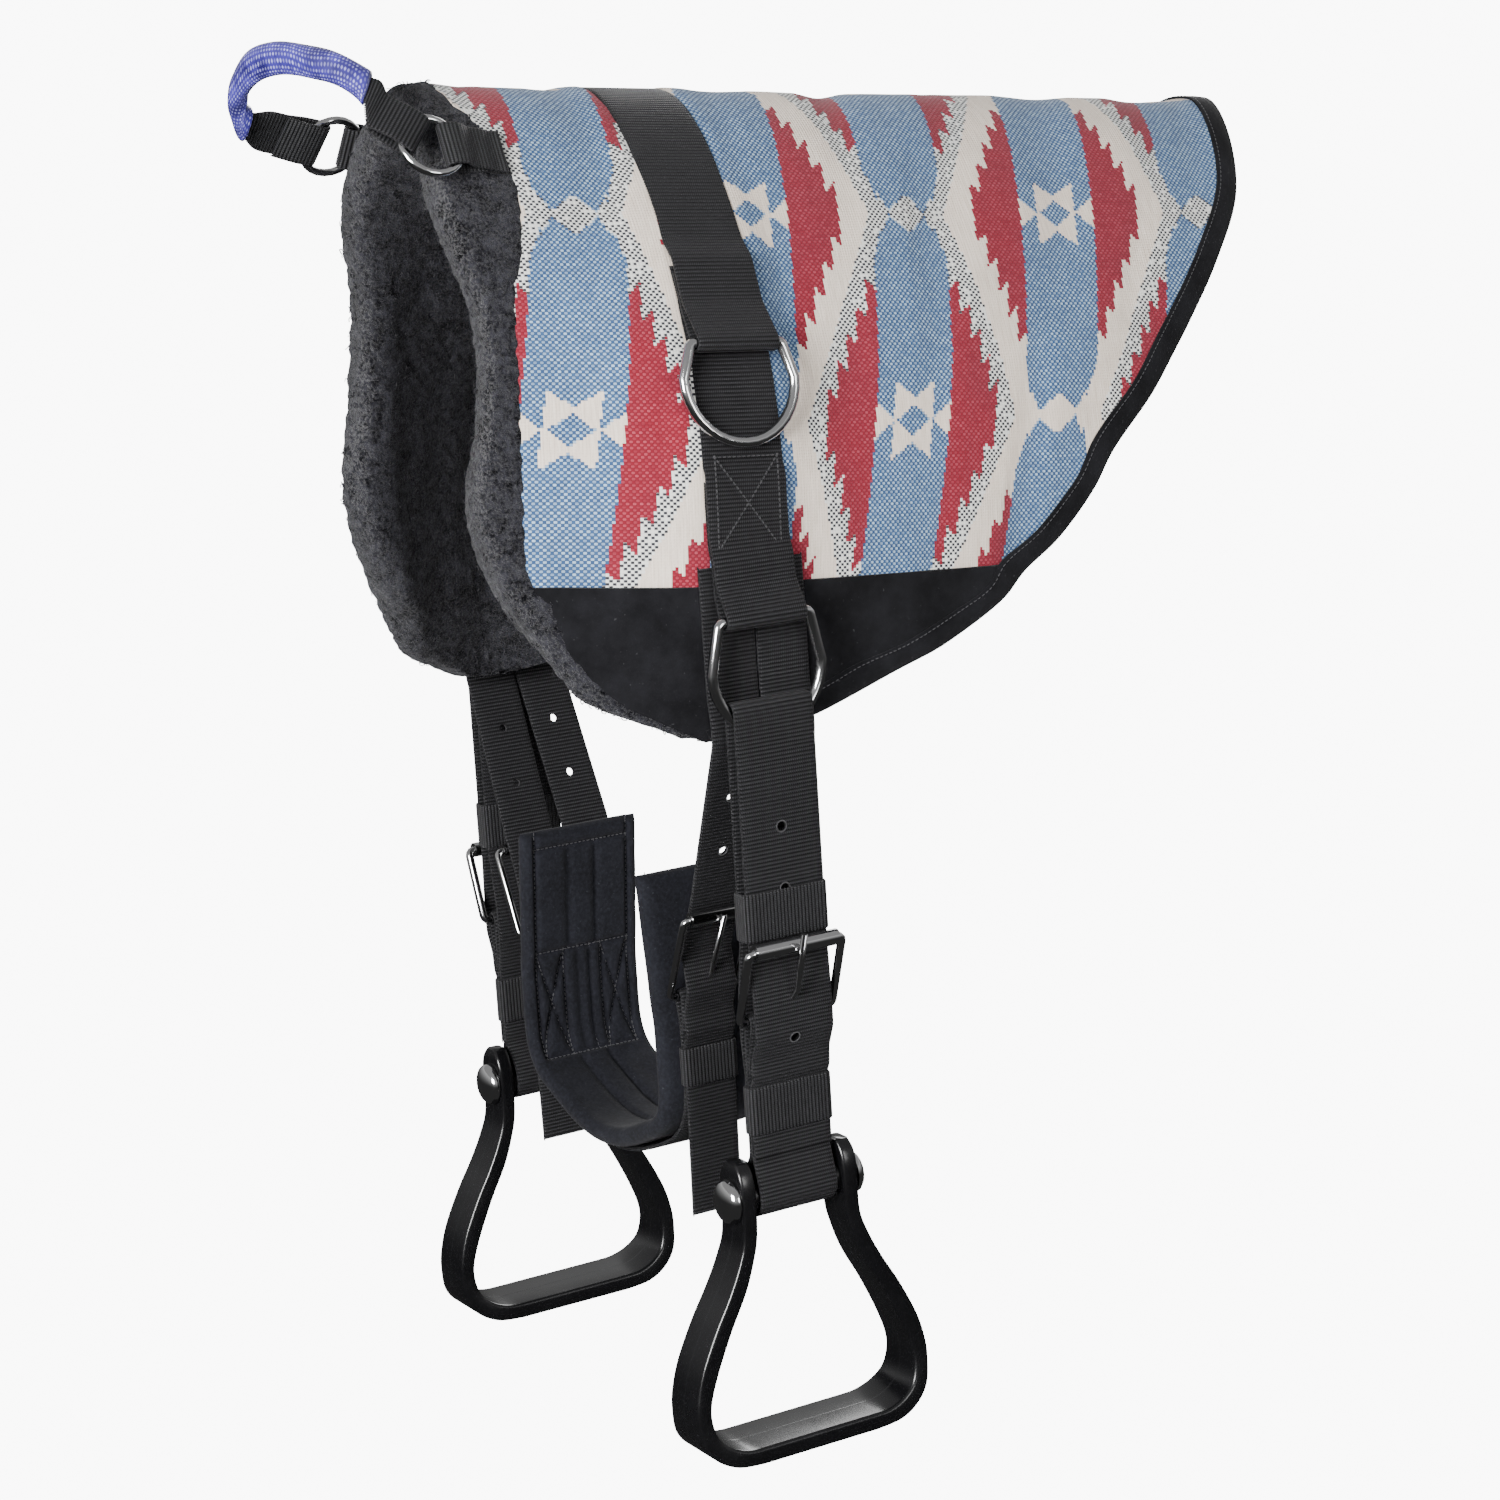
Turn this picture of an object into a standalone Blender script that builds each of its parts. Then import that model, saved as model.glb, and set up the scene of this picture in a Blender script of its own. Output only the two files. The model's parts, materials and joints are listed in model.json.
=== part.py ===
"""Bareback pad: a padded woven cover, a surcingle with rings, two stirrup
straps with stirrups, a quilted girth and a grab handle.

Metres, +Z up. The horse faces -Y, so the left side of the pad is at +X. The
origin is under the ridge of the lining, where the surcingle crosses it.
"""
import math

import bmesh
import bpy
from mathutils import Matrix, Vector

MM = 0.001
GAP = 0.3 * MM
NUDGE = 1.0 * MM
MERGE = 0.001 * MM

# The ridge of the pad falls a little towards the rear.
RIDGE_TILT = math.radians(4.4)
RIDGE_BACK = 18 * MM
PAD_DROP = 348 * MM
FLAP_REACH = 143 * MM
PAD_REAR = 412 * MM
PAD_FRONT = 143 * MM
COVER_THICK = 2.0 * MM
FOAM_THICK = 12.0 * MM
FLEECE_THICK = 13.2 * MM
LINING_GAP = 0.5 * MM
PAD_THICK = COVER_THICK + GAP + FOAM_THICK + LINING_GAP + FLEECE_THICK
FLEECE_PROUD = 1.6 * MM
ROLL_DEPTH = 12 * MM
ROLL_LIMIT_SHARE = 0.6
DRAW_START = 20 * MM
DRAW_LENGTH = 130 * MM
REAR_TAPER_SHARE = 0.14
EDGE_TAPER = 60 * MM
EDGE_THIN_SHARE = 0.5
SEAM_DROP = 264 * MM
SUEDE_ROWS = 5
COVER_ROWS = 15
BINDING_WIDTH = 14 * MM
BINDING_THICK = 1.4 * MM
BINDING_LIFT = 0.9 * MM
BINDING_LIMIT_SHARE = 0.8
FRONT_GAP = 0.6 * MM
# Lets the lift decide between corners that stand at the same place.
TIE_SHARE = 0.001
SPREAD_LIMIT_SHARE = 4.0

# Half section of the cover: drop below the ridge, reach from the centre.
SECTION_SHARES = (
    (0.000, 0.000), (0.009, 0.140), (0.052, 0.308), (0.118, 0.462),
    (0.210, 0.622), (0.299, 0.741), (0.356, 0.804), (0.431, 0.881),
    (0.546, 0.951), (0.661, 0.986), (0.790, 1.000), (1.000, 1.000),
)
# How far each level is drawn in at the front: drop, share of the reach.
NARROWING_SHARES = (
    (0.000, 0.070), (0.052, 0.090), (0.118, 0.130), (0.210, 0.190),
    (0.299, 0.245), (0.356, 0.280), (0.431, 0.325), (0.546, 0.368),
    (0.661, 0.390), (0.790, 0.406), (1.000, 0.420),
)
REAR_SHARES = (
    (0.000, 1.000), (0.043, 0.985), (0.158, 0.947), (0.261, 0.879),
    (0.351, 0.811), (0.420, 0.755), (0.491, 0.701), (0.575, 0.626),
    (0.644, 0.583), (0.716, 0.522), (0.767, 0.461), (0.816, 0.417),
    (0.876, 0.323), (0.911, 0.243), (0.971, 0.102), (1.000, -0.024),
)
FRONT_SHARES = (
    (0.000, -0.965), (0.141, -1.000), (0.239, -0.972), (0.333, -0.916),
    (0.428, -0.909), (0.526, -0.923), (0.624, -0.951), (0.718, -0.916),
    (0.799, -0.832), (0.862, -0.734), (0.934, -0.615), (0.957, -0.510),
    (1.000, -0.231),
)
COVER_FRONT_SHARES = (
    (0.000, -0.846), (0.023, -0.846), (0.086, -0.741), (0.158, -0.699),
    (0.259, -0.734), (0.345, -0.783), (0.661, -0.783), (0.750, -0.762),
    (0.790, -0.692), (0.862, -0.629), (0.934, -0.490), (0.957, -0.392),
    (1.000, -0.189),
)
COLUMN_SHARES = (0.0, 0.09, 0.19, 0.31, 0.46, 0.64, 0.84, 1.0)
REAR_THIN_SHARE = 0.94
# Outline of the rolled front edge: share of the roll, share of the depth.
ROLL_SHARES = ((0.25, 0.86), (0.0, 0.52), (0.12, 0.18))

# Webbing
WEB_WIDTH = 50 * MM
WEB_THICK = 2.0 * MM
STRAP_THICK = 2.2 * MM
PLY = WEB_THICK + GAP
ARC_STEPS = 6

# Rings of the surcingle
RING_WIRE = 3.1 * MM
RING_BAR_HALF = 29.2 * MM
RING_BULGE = 34.5 * MM
RING_BEND = 3.4 * MM
UPPER_DEE_DEPTH = 54 * MM
LOWER_DEE_DEPTH = 62 * MM
UPPER_BAR_DROP = 139 * MM
UPPER_BAR_LIFT = 10 * MM
UPPER_REST_LIFT = 6.4 * MM
LOWER_BAR_DROP = 281 * MM
LOWER_BAR_LIFT = 11.9 * MM
FOLD_RADIUS = RING_WIRE + GAP + WEB_THICK / 2

# Drops of the turning points of the surcingle and of the ring web.
SURCINGLE_RISE_START = 82 * MM
SURCINGLE_RISE_END = 93 * MM
SURCINGLE_BULGE = 116 * MM
SURCINGLE_TAIL = 101 * MM
RING_WEB_TOP = 96 * MM
PATCH_TOP = 199 * MM
PATCH_STEP = 206 * MM
PATCH_TAIL = 209 * MM
BILLET_TOP = 252 * MM
BILLET_COVERED = 240 * MM
BILLET_STEP = 250 * MM
BULGE_START = 262 * MM
# How far the folds round the rings go on past the bulges.
SURCINGLE_TURN = 4 * MM
RING_WEB_TURN = 6 * MM

# Girth billets
BILLET_WIDTH = 32 * MM
BILLET_FRONT_Y = -16.2 * MM
SPARE_Y = 17 * MM
SPARE_LOW_Y = 25 * MM
LOWER_Y = 0.5 * MM
BILLET_EDGE_LIFT = 4.2 * MM
BILLET_SWELL = 0.4 * MM
# Its stations from the lower ring's bar to the pad's lower edge.
BILLET_WAY_SHARES = (0.37, 0.61, 0.85, 1.0)
BILLET_OVER = 8 * MM
BILLET_UNDER = 10 * MM
BILLET_CROSS_IN = 4 * MM
BILLET_CROSS_UP = 26 * MM
BILLET_PASS_GAP = 1.2 * MM
BILLET_PASS_UP = 9 * MM
BILLET_PASS_DOWN = 6 * MM
BILLET_LOW_SWELL = 1.0 * MM
BILLET_LAY_GAP = 0.1 * MM
BILLET_SETTLE = 9 * MM
BILLET_SETTLE_OUT = 1.6 * MM
BILLET_END_IN = 1.0 * MM
BILLET_END_DROP = 196 * MM
BILLET_HOLE = 2.6 * MM
BILLET_HOLE_DROPS = (33 * MM, 65 * MM)
BILLET_HOLE_CUT = 60 * MM
SPARE_STEP = 4 * MM
SPARE_END_OUT = 14 * MM

# Stirrup strap, in the plane across the pad. Drops are below its upper fold.
STRAP_FOLD = RING_WIRE + GAP + STRAP_THICK / 2
STRAP_HALF = WEB_WIDTH / 2
SPOOL_IN = 10 * MM
BOLT_DROP = 275.4 * MM
SPOOL_RADIUS = 9.5 * MM
SPOOL_FOLD = SPOOL_RADIUS + GAP + STRAP_THICK / 2
STRAP_RIDE = 13.4 * MM
KEEPER_THICK = 1.4 * MM
KEEPER_TALL = 27 * MM
KEEPER_CLEAR = 2.0 * MM
TOP_KEEPER_DROP = 113.9 * MM
LOW_KEEPER_DROP = 224.9 * MM
STRAP_HOLE = 3.0 * MM
HOLE_DROPS = (65.4 * MM, 100.4 * MM, 185.4 * MM)
HOLE_CUT = 7 * MM
# The plies come together below the hinge bar, inside the ring's rear ply.
STACK_IN = 3.5 * MM
STACK_DROP = 30 * MM
WEB_EASE = 8 * MM
TAIL_SWELL = 0.6 * MM
SPOOL_EASE = 1.5 * MM
PASS_GAP = 0.4 * MM
REAR_PASS_DROP = 12 * MM
FREE_PASS_DROP = 9 * MM
FREE_SWELL = 1.2 * MM
FREE_DIP = 3 * MM

# Buckles: half width, reach from the hinge bar to the roller, wire, roller
HINGE_IN = 1.9 * MM
HINGE_DROP = 173.4 * MM
STRAP_LEAN = math.radians(19.6)
STRAP_BUCKLE_HALF = 30 * MM
STRAP_BUCKLE_REACH = 44.6 * MM
STRAP_BUCKLE_WIRE = 2.5 * MM
STRAP_ROLLER = 4.5 * MM
STRAP_TONGUE = 1.8 * MM
STRAP_TIP_PAST = 10.8 * MM
TONGUE_STEP_OUT = 9.5 * MM
TONGUE_STEP_UP = 17 * MM
TONGUE_ROOM = 1.2 * MM
FOLD_SLOT_DEEP = 16 * MM
FOLD_SLOT_TALL = 15 * MM
TONGUE_HOLE = 2.6 * MM
TONGUE_HOLE_UP = 12.6 * MM
TONGUE_HOLE_CUT = 8 * MM
TONGUE_HOLE_SHARE = 2.2
GIRTH_LEAN = math.radians(25.2)
GIRTH_BUCKLE_HALF = 21.6 * MM
GIRTH_BUCKLE_REACH = 54 * MM
GIRTH_BUCKLE_WIRE = 2.2 * MM
GIRTH_ROLLER = 4.2 * MM
GIRTH_TONGUE = 1.5 * MM
GIRTH_TIP_PAST = 4 * MM
GIRTH_TONGUE_UP = 4 * MM
GIRTH_SLOT = 13 * MM
GIRTH_HOLE_IN = 0.5 * MM
GIRTH_HOLE_UP = 15.5 * MM
GIRTH_HOLE_CUT = 14 * MM
GIRTH_HOLE_SHARE = 2.7
CORNER = 3.5 * MM

# Stirrups
STIRRUP_DROP = 149 * MM
STIRRUP_CHAMFER = 1.6 * MM
# Outer and inner half width, outer and inner level, depth.
STIRRUP_SHARES = (
    (0.248, 0.191, 0.148, 0.148, 0.081), (0.255, 0.191, 0.107, 0.107, 0.141),
    (0.255, 0.191, 0.034, 0.034, 0.174), (0.258, 0.195, -0.128, -0.121, 0.174),
    (0.289, 0.218, -0.228, -0.215, 0.181), (0.342, 0.262, -0.336, -0.329, 0.188),
    (0.409, 0.336, -0.450, -0.463, 0.195), (0.477, 0.403, -0.591, -0.604, 0.201),
    (0.507, 0.443, -0.698, -0.711, 0.208), (0.513, 0.450, -0.779, -0.785, 0.215),
    (0.497, 0.430, -0.879, -0.859, 0.235), (0.443, 0.376, -0.946, -0.906, 0.255),
    (0.362, 0.309, -0.987, -0.930, 0.268), (0.255, 0.242, -1.000, -0.933, 0.268),
)
BOLT_RADIUS = 4.0 * MM
BOLT_HEAD = 13 * MM
HEAD_RISE = 7.5 * MM
HEAD_RIM = 1.2 * MM
EYE_OUTER = 38.2 * MM
NUT_BORE_SHARE = 0.62
SPOOL_SHARE = 0.73

# Girth, hung below the pad's lower edge. Its drops are below its own top.
GIRTH_HALF = 39 * MM
GIRTH_Y = -4 * MM
GIRTH_PAD_THICK = 12 * MM
GIRTH_WEB_Y = -16 * MM
GIRTH_WEB_LIFT = 2.2 * MM
GIRTH_HANG = 85 * MM
GIRTH_REACH = 75 * MM
GIRTH_DEPTH = 161.5 * MM
GIRTH_HINGE_OUT = 15 * MM
GIRTH_HINGE_DROP = 67 * MM
GIRTH_KEEPER_DROP = 108 * MM
GIRTH_KEEPER_TALL = 22 * MM
GIRTH_KEEPER_ROOM = 0.5 * MM
GIRTH_TAIL_DROP = 12 * MM
GIRTH_TAIL_END = 6 * MM
# Inner face of the girth pad from the top of a side to the middle.
GIRTH_PATH_SHARES = (
    (0.853, 0.000), (0.867, 0.043), (0.893, 0.149), (0.920, 0.260), (0.947, 0.359),
    (0.967, 0.446), (0.993, 0.514), (1.000, 0.582), (1.000, 0.669), (1.000, 0.755),
    (0.980, 0.805), (0.933, 0.848), (0.840, 0.885), (0.720, 0.910), (0.533, 0.947),
    (0.320, 0.981), (0.107, 1.000),
)
# The keeper's station, and those where a cross seam presses the quilting flat.
KEEPER_STATION = 8
CROSS_SEAMS = (0, 5, 12)
SEAM_PUFF_SHARE = 0.72
# Quilted section: share of the half width, share of the thickness.
QUILT_SHARES = (
    (-1.0, 0.35), (-0.97, 0.72), (-0.87, 0.92), (-0.74, 0.62), (-0.60, 0.96),
    (-0.40, 0.96), (-0.25, 0.66), (-0.10, 1.0), (0.10, 1.0), (0.25, 0.66),
    (0.40, 0.96), (0.60, 0.96), (0.74, 0.62), (0.87, 0.92), (0.97, 0.72),
    (1.0, 0.35), (0.95, 0.0), (-0.95, 0.0),
)

# Grab handle
HANDLE_RING = 17 * MM
HANDLE_WIRE = 2.25 * MM
HANDLE_HALF = 12.5 * MM
HANDLE_DROP = 37.3 * MM
HANDLE_ALONG = -146 * MM
HANDLE_LIFT = 9.5 * MM
HANDLE_FOLD = HANDLE_WIRE + GAP + WEB_THICK / 2
HANDLE_REACH = 6.4 * MM
HANDLE_TURN_LEFT = math.radians(38)
HANDLE_TURN_RIGHT = math.radians(12)
SLEEVE_HALF = 15.0 * MM
SLEEVE_HOLLOW = 5.8 * MM
SLEEVE_WALL = 1.3 * MM
SLEEVE_SHARES = (0.12, 0.9)
SLEEVE_POINTS = 10
SLEEVE_FLAT_SHARE = 0.6
HANDLE_RING_POINTS = 24
HANDLE_SEAM = 16 * MM
HANDLE_SEAM_START = 3 * MM
HANDLE_PINCH = 2.2 * MM
HANDLE_TWIST_SHARE = 0.45

# Lower and upper plies of a handle tab: share of its length, rise over the
# cover's web as a share of the ring's lift.
TAB_LENGTH = 48 * MM
TAB_LOW_SHARES = (
    (1.000, 0.032), (0.917, 0.032), (0.833, 0.032), (0.750, 0.032),
    (0.646, 0.284), (0.417, 0.253), (0.208, 0.263),
)
TAB_HIGH_SHARES = (
    (0.208, 1.200), (0.417, 0.695), (0.646, 0.547), (0.792, 0.295), (0.958, 0.284),
)
# Middle of the handle's web from the left ring to the right one: shares of a
# ring's distance from the centre, of the bow forwards and of the arch upwards.
HANDLE_BOW = 61 * MM
HANDLE_ARCH = 50 * MM
HANDLE_MIDDLE_SHARES = (
    (0.744, 0.424, 0.618), (0.475, 0.555, 0.838), (0.190, 0.686, 0.938), (-0.127, 0.834, 0.998),
    (-0.443, 0.949, 0.918), (-0.680, 0.998, 0.658), (-0.838, 0.900, 0.338),
)
HANDLE_RISE = (0, -0.2, 0.98)


def smooth_line(points, steps):
    """A smooth line through all the points, as tuples."""
    line = []
    count = len(points)
    for index in range(count - 1):
        before = points[max(index - 1, 0)]
        here = points[index]
        there = points[index + 1]
        after = points[min(index + 2, count - 1)]
        for step in range(steps):
            t = step / steps
            line.append(tuple(
                0.5 * (2 * b + (c - a) * t + (2 * a - 5 * b + 4 * c - d) * t * t
                       + (3 * b - a - 3 * c + d) * t ** 3)
                for a, b, c, d in zip(before, here, there, after)))
    line.append(tuple(points[-1]))
    return line


def table_value(table, key):
    """Linear reading of a table of pairs."""
    if key <= table[0][0]:
        return table[0][1]
    for low, high in zip(table, table[1:]):
        if key <= high[0]:
            part = (key - low[0]) / (high[0] - low[0])
            return low[1] + (high[1] - low[1]) * part
    return table[-1][1]


def smooth_share(value):
    value = min(max(value, 0.0), 1.0)
    return value * value * (3 - 2 * value)


ALONG = Vector((0, math.cos(RIDGE_TILT), -math.sin(RIDGE_TILT)))
DOWN = Vector((0, -math.sin(RIDGE_TILT), -math.cos(RIDGE_TILT)))
SIDE = Vector((1, 0, 0))
RIDGE_TOP = Vector((0, RIDGE_BACK, PAD_THICK))


def build_section():
    """The cover's section over both flaps: arc length, reach and drop."""
    half = [(share[1] * FLAP_REACH, share[0] * PAD_DROP) for share in SECTION_SHARES]
    whole = [(-x, h) for x, h in reversed(half[1:])] + half
    line = smooth_line(whole, 8)
    arc = [0.0]
    for before, here in zip(line, line[1:]):
        arc.append(arc[-1] + math.hypot(here[0] - before[0], here[1] - before[1]))
    middle = arc[-1] / 2
    return [(a - middle, p[0], p[1]) for a, p in zip(arc, line)]


SECTION = build_section()
REACH_TABLE = [(arc, reach) for arc, reach, drop in SECTION]
DROP_TABLE = [(arc, drop) for arc, reach, drop in SECTION]
ARC_TABLE = [(drop, max(arc, 0.0)) for arc, reach, drop in SECTION if arc > -NUDGE / 2]
FLAP_ARC = SECTION[-1][0]


def arc_at(drop):
    return table_value(ARC_TABLE, drop)


def surface(arc, along):
    """A point of the cover's outer face."""
    reach = table_value(REACH_TABLE, arc)
    drop = table_value(DROP_TABLE, arc)
    drawn = table_value(NARROWING_SHARES, drop / PAD_DROP)
    drawn *= smooth_share((-along - DRAW_START) / DRAW_LENGTH)
    tapered = REAR_TAPER_SHARE * max(along, 0.0) / PAD_REAR
    return RIDGE_TOP + SIDE * reach * (1 - drawn) * (1 - tapered) + ALONG * along + DOWN * drop


def surface_axes(arc, along):
    """Unit directions down the flap and straight out of the cover."""
    low = max(arc - NUDGE, -FLAP_ARC)
    high = min(arc + NUDGE, FLAP_ARC)
    across = surface(high, along) - surface(low, along)
    length = surface(arc, along + NUDGE) - surface(arc, along - NUDGE)
    out = across.cross(length).normalized()
    return across.normalized(), out


def pad_point(arc, along, lift):
    """A point at a lift above the cover, or below it for a negative lift."""
    return surface(arc, along) + surface_axes(arc, along)[1] * lift


def keep(name, mesh, material):
    """Put a mesh into the scene under its node name."""
    mesh.name = name
    mesh.materials.clear()
    mesh.materials.append(material)
    thing = bpy.data.objects.new(name, mesh)
    bpy.context.scene.collection.objects.link(thing)
    return thing


def finish(name, bm, material, smooth=False):
    """Close a bmesh into a named object with outward faces."""
    bmesh.ops.recalc_face_normals(bm, faces=bm.faces[:])
    mesh = bpy.data.meshes.new(name)
    bm.to_mesh(mesh)
    bm.free()
    if smooth:
        mesh.shade_smooth()
        mesh.set_sharp_from_angle(angle=math.radians(40))
    return keep(name, mesh, material)


def loft(name, rings, material, smooth=False, alongs=None):
    """A solid drawn out from ring to ring. Layers that lie on each other give
    the place of each corner along the pad, so that their faces fold alike."""
    bm = bmesh.new()
    first = bm.faces.new([bm.verts.new(point) for point in rings[0]])
    corners = list(first.verts)
    face = first
    rows = [corners]
    for ring in rings[1:]:
        grown = bmesh.ops.extrude_face_region(bm, geom=[face])["geom"]
        if face.is_valid and face is not first:
            bm.faces.remove(face)
        face = next(item for item in grown if isinstance(item, bmesh.types.BMFace))
        places = {tuple(corner.co): corner for corner in face.verts}
        corners = [places[tuple(corner.co)] for corner in corners]
        for corner, point in zip(corners, ring):
            corner.co = point
        rows.append(corners)
    if alongs:
        fold_alike(rows, alongs)
    return finish(name, bm, material, smooth)


def fold_alike(rows, alongs):
    """Split the side faces so that every layer has the same diagonals."""
    size = len(rows[0])
    for before, after, places in zip(rows, rows[1:], alongs):
        for k in range(size):
            n = (k + 1) % size
            pair = (before[k], after[n]) if places[k] < places[n] else (before[n], after[k])
            shared = set(pair[0].link_faces) & set(pair[1].link_faces)
            for face in shared:
                if len(face.verts) == 4:
                    bmesh.utils.face_split(face, *pair)


def band(name, stations, thick, material):
    """A web through stations of a point, a low edge and a high edge vector."""
    rings = []
    count = len(stations)
    for index, (point, low, high) in enumerate(stations):
        across = (high - low).normalized()
        normals = []
        if index > 0:
            normals.append((point - stations[index - 1][0]).cross(across).normalized())
        if index < count - 1:
            normals.append((stations[index + 1][0] - point).cross(across).normalized())
        normal = sum(normals, Vector()).normalized()
        offset = normal * (thick / 2 / max(normal.dot(normals[0]), 0.5))
        rings.append([point + low + offset, point + high + offset,
                      point + high - offset, point + low - offset])
    return loft(name, rings, material)


def arc_points(centre, radius, start, end, steps):
    """Points of an arc, angles in degrees from the first axis."""
    points = []
    for step in range(steps + 1):
        angle = math.radians(start + (end - start) * step / steps)
        points.append((centre[0] + radius * math.cos(angle),
                       centre[1] + radius * math.sin(angle)))
    return points


def wire(name, points, radius, material, closed=True, sides=3):
    """A round wire along the points."""
    curve = bpy.data.curves.new(name, "CURVE")
    curve.dimensions = "3D"
    curve.bevel_depth = radius
    curve.bevel_resolution = sides
    curve.use_fill_caps = True
    spline = curve.splines.new("POLY")
    spline.points.add(len(points) - 1)
    for corner, point in zip(spline.points, points):
        corner.co = (*point, 1)
    spline.use_cyclic_u = closed
    spline.use_smooth = False
    curve.resolution_u = 1
    guide = bpy.data.objects.new(name + "_guide", curve)
    bpy.context.scene.collection.objects.link(guide)
    bpy.context.view_layer.update()
    mesh = bpy.data.meshes.new_from_object(
        guide.evaluated_get(bpy.context.evaluated_depsgraph_get()))
    bpy.data.objects.remove(guide)
    bpy.data.curves.remove(curve)
    bm = bmesh.new()
    bm.from_mesh(mesh)
    bpy.data.meshes.remove(mesh)
    bmesh.ops.remove_doubles(bm, verts=bm.verts[:], dist=MERGE)
    return finish(name, bm, material, True)


def revolve(name, profile, place, material, steps=16, smooth=True):
    """A profile of radius and height, turned about the place's own Y axis."""
    bm = bmesh.new()
    corners = [bm.verts.new((radius, height, 0)) for radius, height in profile]
    loops = list(zip(corners, corners[1:]))
    if profile[0][0] > 0:
        loops.append((corners[-1], corners[0]))
    edges = [bm.edges.new(pair) for pair in loops]
    bmesh.ops.spin(bm, geom=corners + edges, cent=(0, 0, 0), axis=(0, 1, 0),
                   angle=math.tau, steps=steps, use_merge=True)
    bmesh.ops.remove_doubles(bm, verts=bm.verts[:], dist=MERGE)
    bmesh.ops.transform(bm, matrix=place, verts=bm.verts[:])
    return finish(name, bm, material, smooth)


def cut(thing, cutters):
    """Take closed cutters out of an object and clear them away."""
    for cutter in cutters:
        modifier = thing.modifiers.new("cut", "BOOLEAN")
        modifier.operation = "DIFFERENCE"
        modifier.solver = "EXACT"
        modifier.object = cutter
    bpy.context.view_layer.update()
    graph = bpy.context.evaluated_depsgraph_get()
    mesh = bpy.data.meshes.new_from_object(thing.evaluated_get(graph))
    thing.modifiers.clear()
    old = thing.data
    thing.data = mesh
    mesh.name = thing.name
    bpy.data.meshes.remove(old)
    for cutter in cutters:
        bpy.data.objects.remove(cutter)


def peg(radius, length, place, stretch=1.0, steps=12):
    """A round or oval cutter along the place's own Z axis."""
    bm = bmesh.new()
    bmesh.ops.create_cone(bm, cap_ends=True, segments=steps, radius1=radius,
                          radius2=radius, depth=length)
    bmesh.ops.transform(bm, matrix=place @ Matrix.Diagonal((stretch, 1, 1, 1)),
                        verts=bm.verts[:])
    return finish("cutter", bm, None)


def block(size, centre):
    """A box cutter."""
    bm = bmesh.new()
    bmesh.ops.create_cube(bm, size=1)
    bmesh.ops.transform(bm, matrix=Matrix.Translation(centre) @ Matrix.Diagonal((*size, 1)),
                        verts=bm.verts[:])
    return finish("cutter", bm, None)


def make_material(name, colour, roughness, metallic=0.0):
    material = bpy.data.materials.new(name)
    material.use_nodes = True
    shader = material.node_tree.nodes["Principled BSDF"]
    shader.inputs["Base Color"].default_value = (*colour, 1)
    shader.inputs["Roughness"].default_value = roughness
    shader.inputs["Metallic"].default_value = metallic
    return material


for leftover in list(bpy.data.objects):
    bpy.data.objects.remove(leftover)

CLOTH = make_material("woven_cloth", (0.16, 0.24, 0.38), 0.9)
FOAM = make_material("foam", (0.55, 0.52, 0.45), 0.95)
FLEECE = make_material("fleece", (0.015, 0.015, 0.018), 1.0)
SUEDE = make_material("suede", (0.008, 0.008, 0.009), 0.95)
WEBBING = make_material("webbing", (0.012, 0.012, 0.014), 0.75)
NICKEL = make_material("nickel", (0.75, 0.75, 0.74), 0.18, 1.0)
PLASTIC = make_material("stirrup_plastic", (0.012, 0.012, 0.013), 0.3)
QUILT = make_material("quilted_cotton", (0.012, 0.014, 0.026), 0.9)
SLEEVE = make_material("mesh_sleeve", (0.08, 0.09, 0.45), 0.25)


# Pad layers

def edge_share(arc, column):
    """How much the padding thins towards the rear and lower edges."""
    if column == len(COLUMN_SHARES) - 1:
        rear = EDGE_THIN_SHARE
    elif column == len(COLUMN_SHARES) - 2:
        rear = REAR_THIN_SHARE
    else:
        rear = 1.0
    room = smooth_share((FLAP_ARC - abs(arc)) / EDGE_TAPER)
    return rear * (EDGE_THIN_SHARE + (1 - EDGE_THIN_SHARE) * room)


def row_columns(arc):
    """Where the columns stand on a row, with the edge of fleece and foam."""
    share = table_value(DROP_TABLE, arc) / PAD_DROP
    fleece = table_value(FRONT_SHARES, share) * PAD_FRONT
    front = table_value(COVER_FRONT_SHARES, share) * PAD_FRONT
    rear = table_value(REAR_SHARES, share) * PAD_REAR
    roll = min(ROLL_DEPTH, ROLL_LIMIT_SHARE * (front - fleece))
    columns = [front + (rear - front) * part for part in COLUMN_SHARES]
    return fleece, fleece + roll, columns


def edge_spread(arc, column):
    """How much longer a step across an edge is where the edge runs slanting."""
    low = max(arc - EDGE_TAPER / 8, -FLAP_ARC)
    high = min(arc + EDGE_TAPER / 8, FLAP_ARC)
    slope = (row_columns(high)[2][column] - row_columns(low)[2][column]) / (high - low)
    return min(math.hypot(1, slope), SPREAD_LIMIT_SHARE)


FOAM_OUT = -COVER_THICK - GAP


def foam_in(arc, column):
    return FOAM_OUT - FOAM_THICK * edge_share(arc, column)


def fleece_out(arc, column):
    return foam_in(arc, column) - LINING_GAP


def fleece_in(arc, column):
    return fleece_out(arc, column) - FLEECE_THICK * edge_share(arc, column)


def pad_layer(name, arcs, outline_of, material):
    """A layer of the pad from the outline of its section on each row."""
    outlines = [outline_of(arc) for arc in arcs]
    rings = [[pad_point(arc, along, lift) for along, lift in outline]
             for arc, outline in zip(arcs, outlines)]
    alongs = [[along + lift * TIE_SHARE for along, lift in outline] for outline in outlines]
    return loft(name, rings, material, alongs=alongs)


def cover_outline(arc):
    columns = row_columns(arc)[2]
    outline = [(along, 0) for along in columns]
    outline += [(along, -COVER_THICK) for along in reversed(columns)]
    return outline


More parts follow.
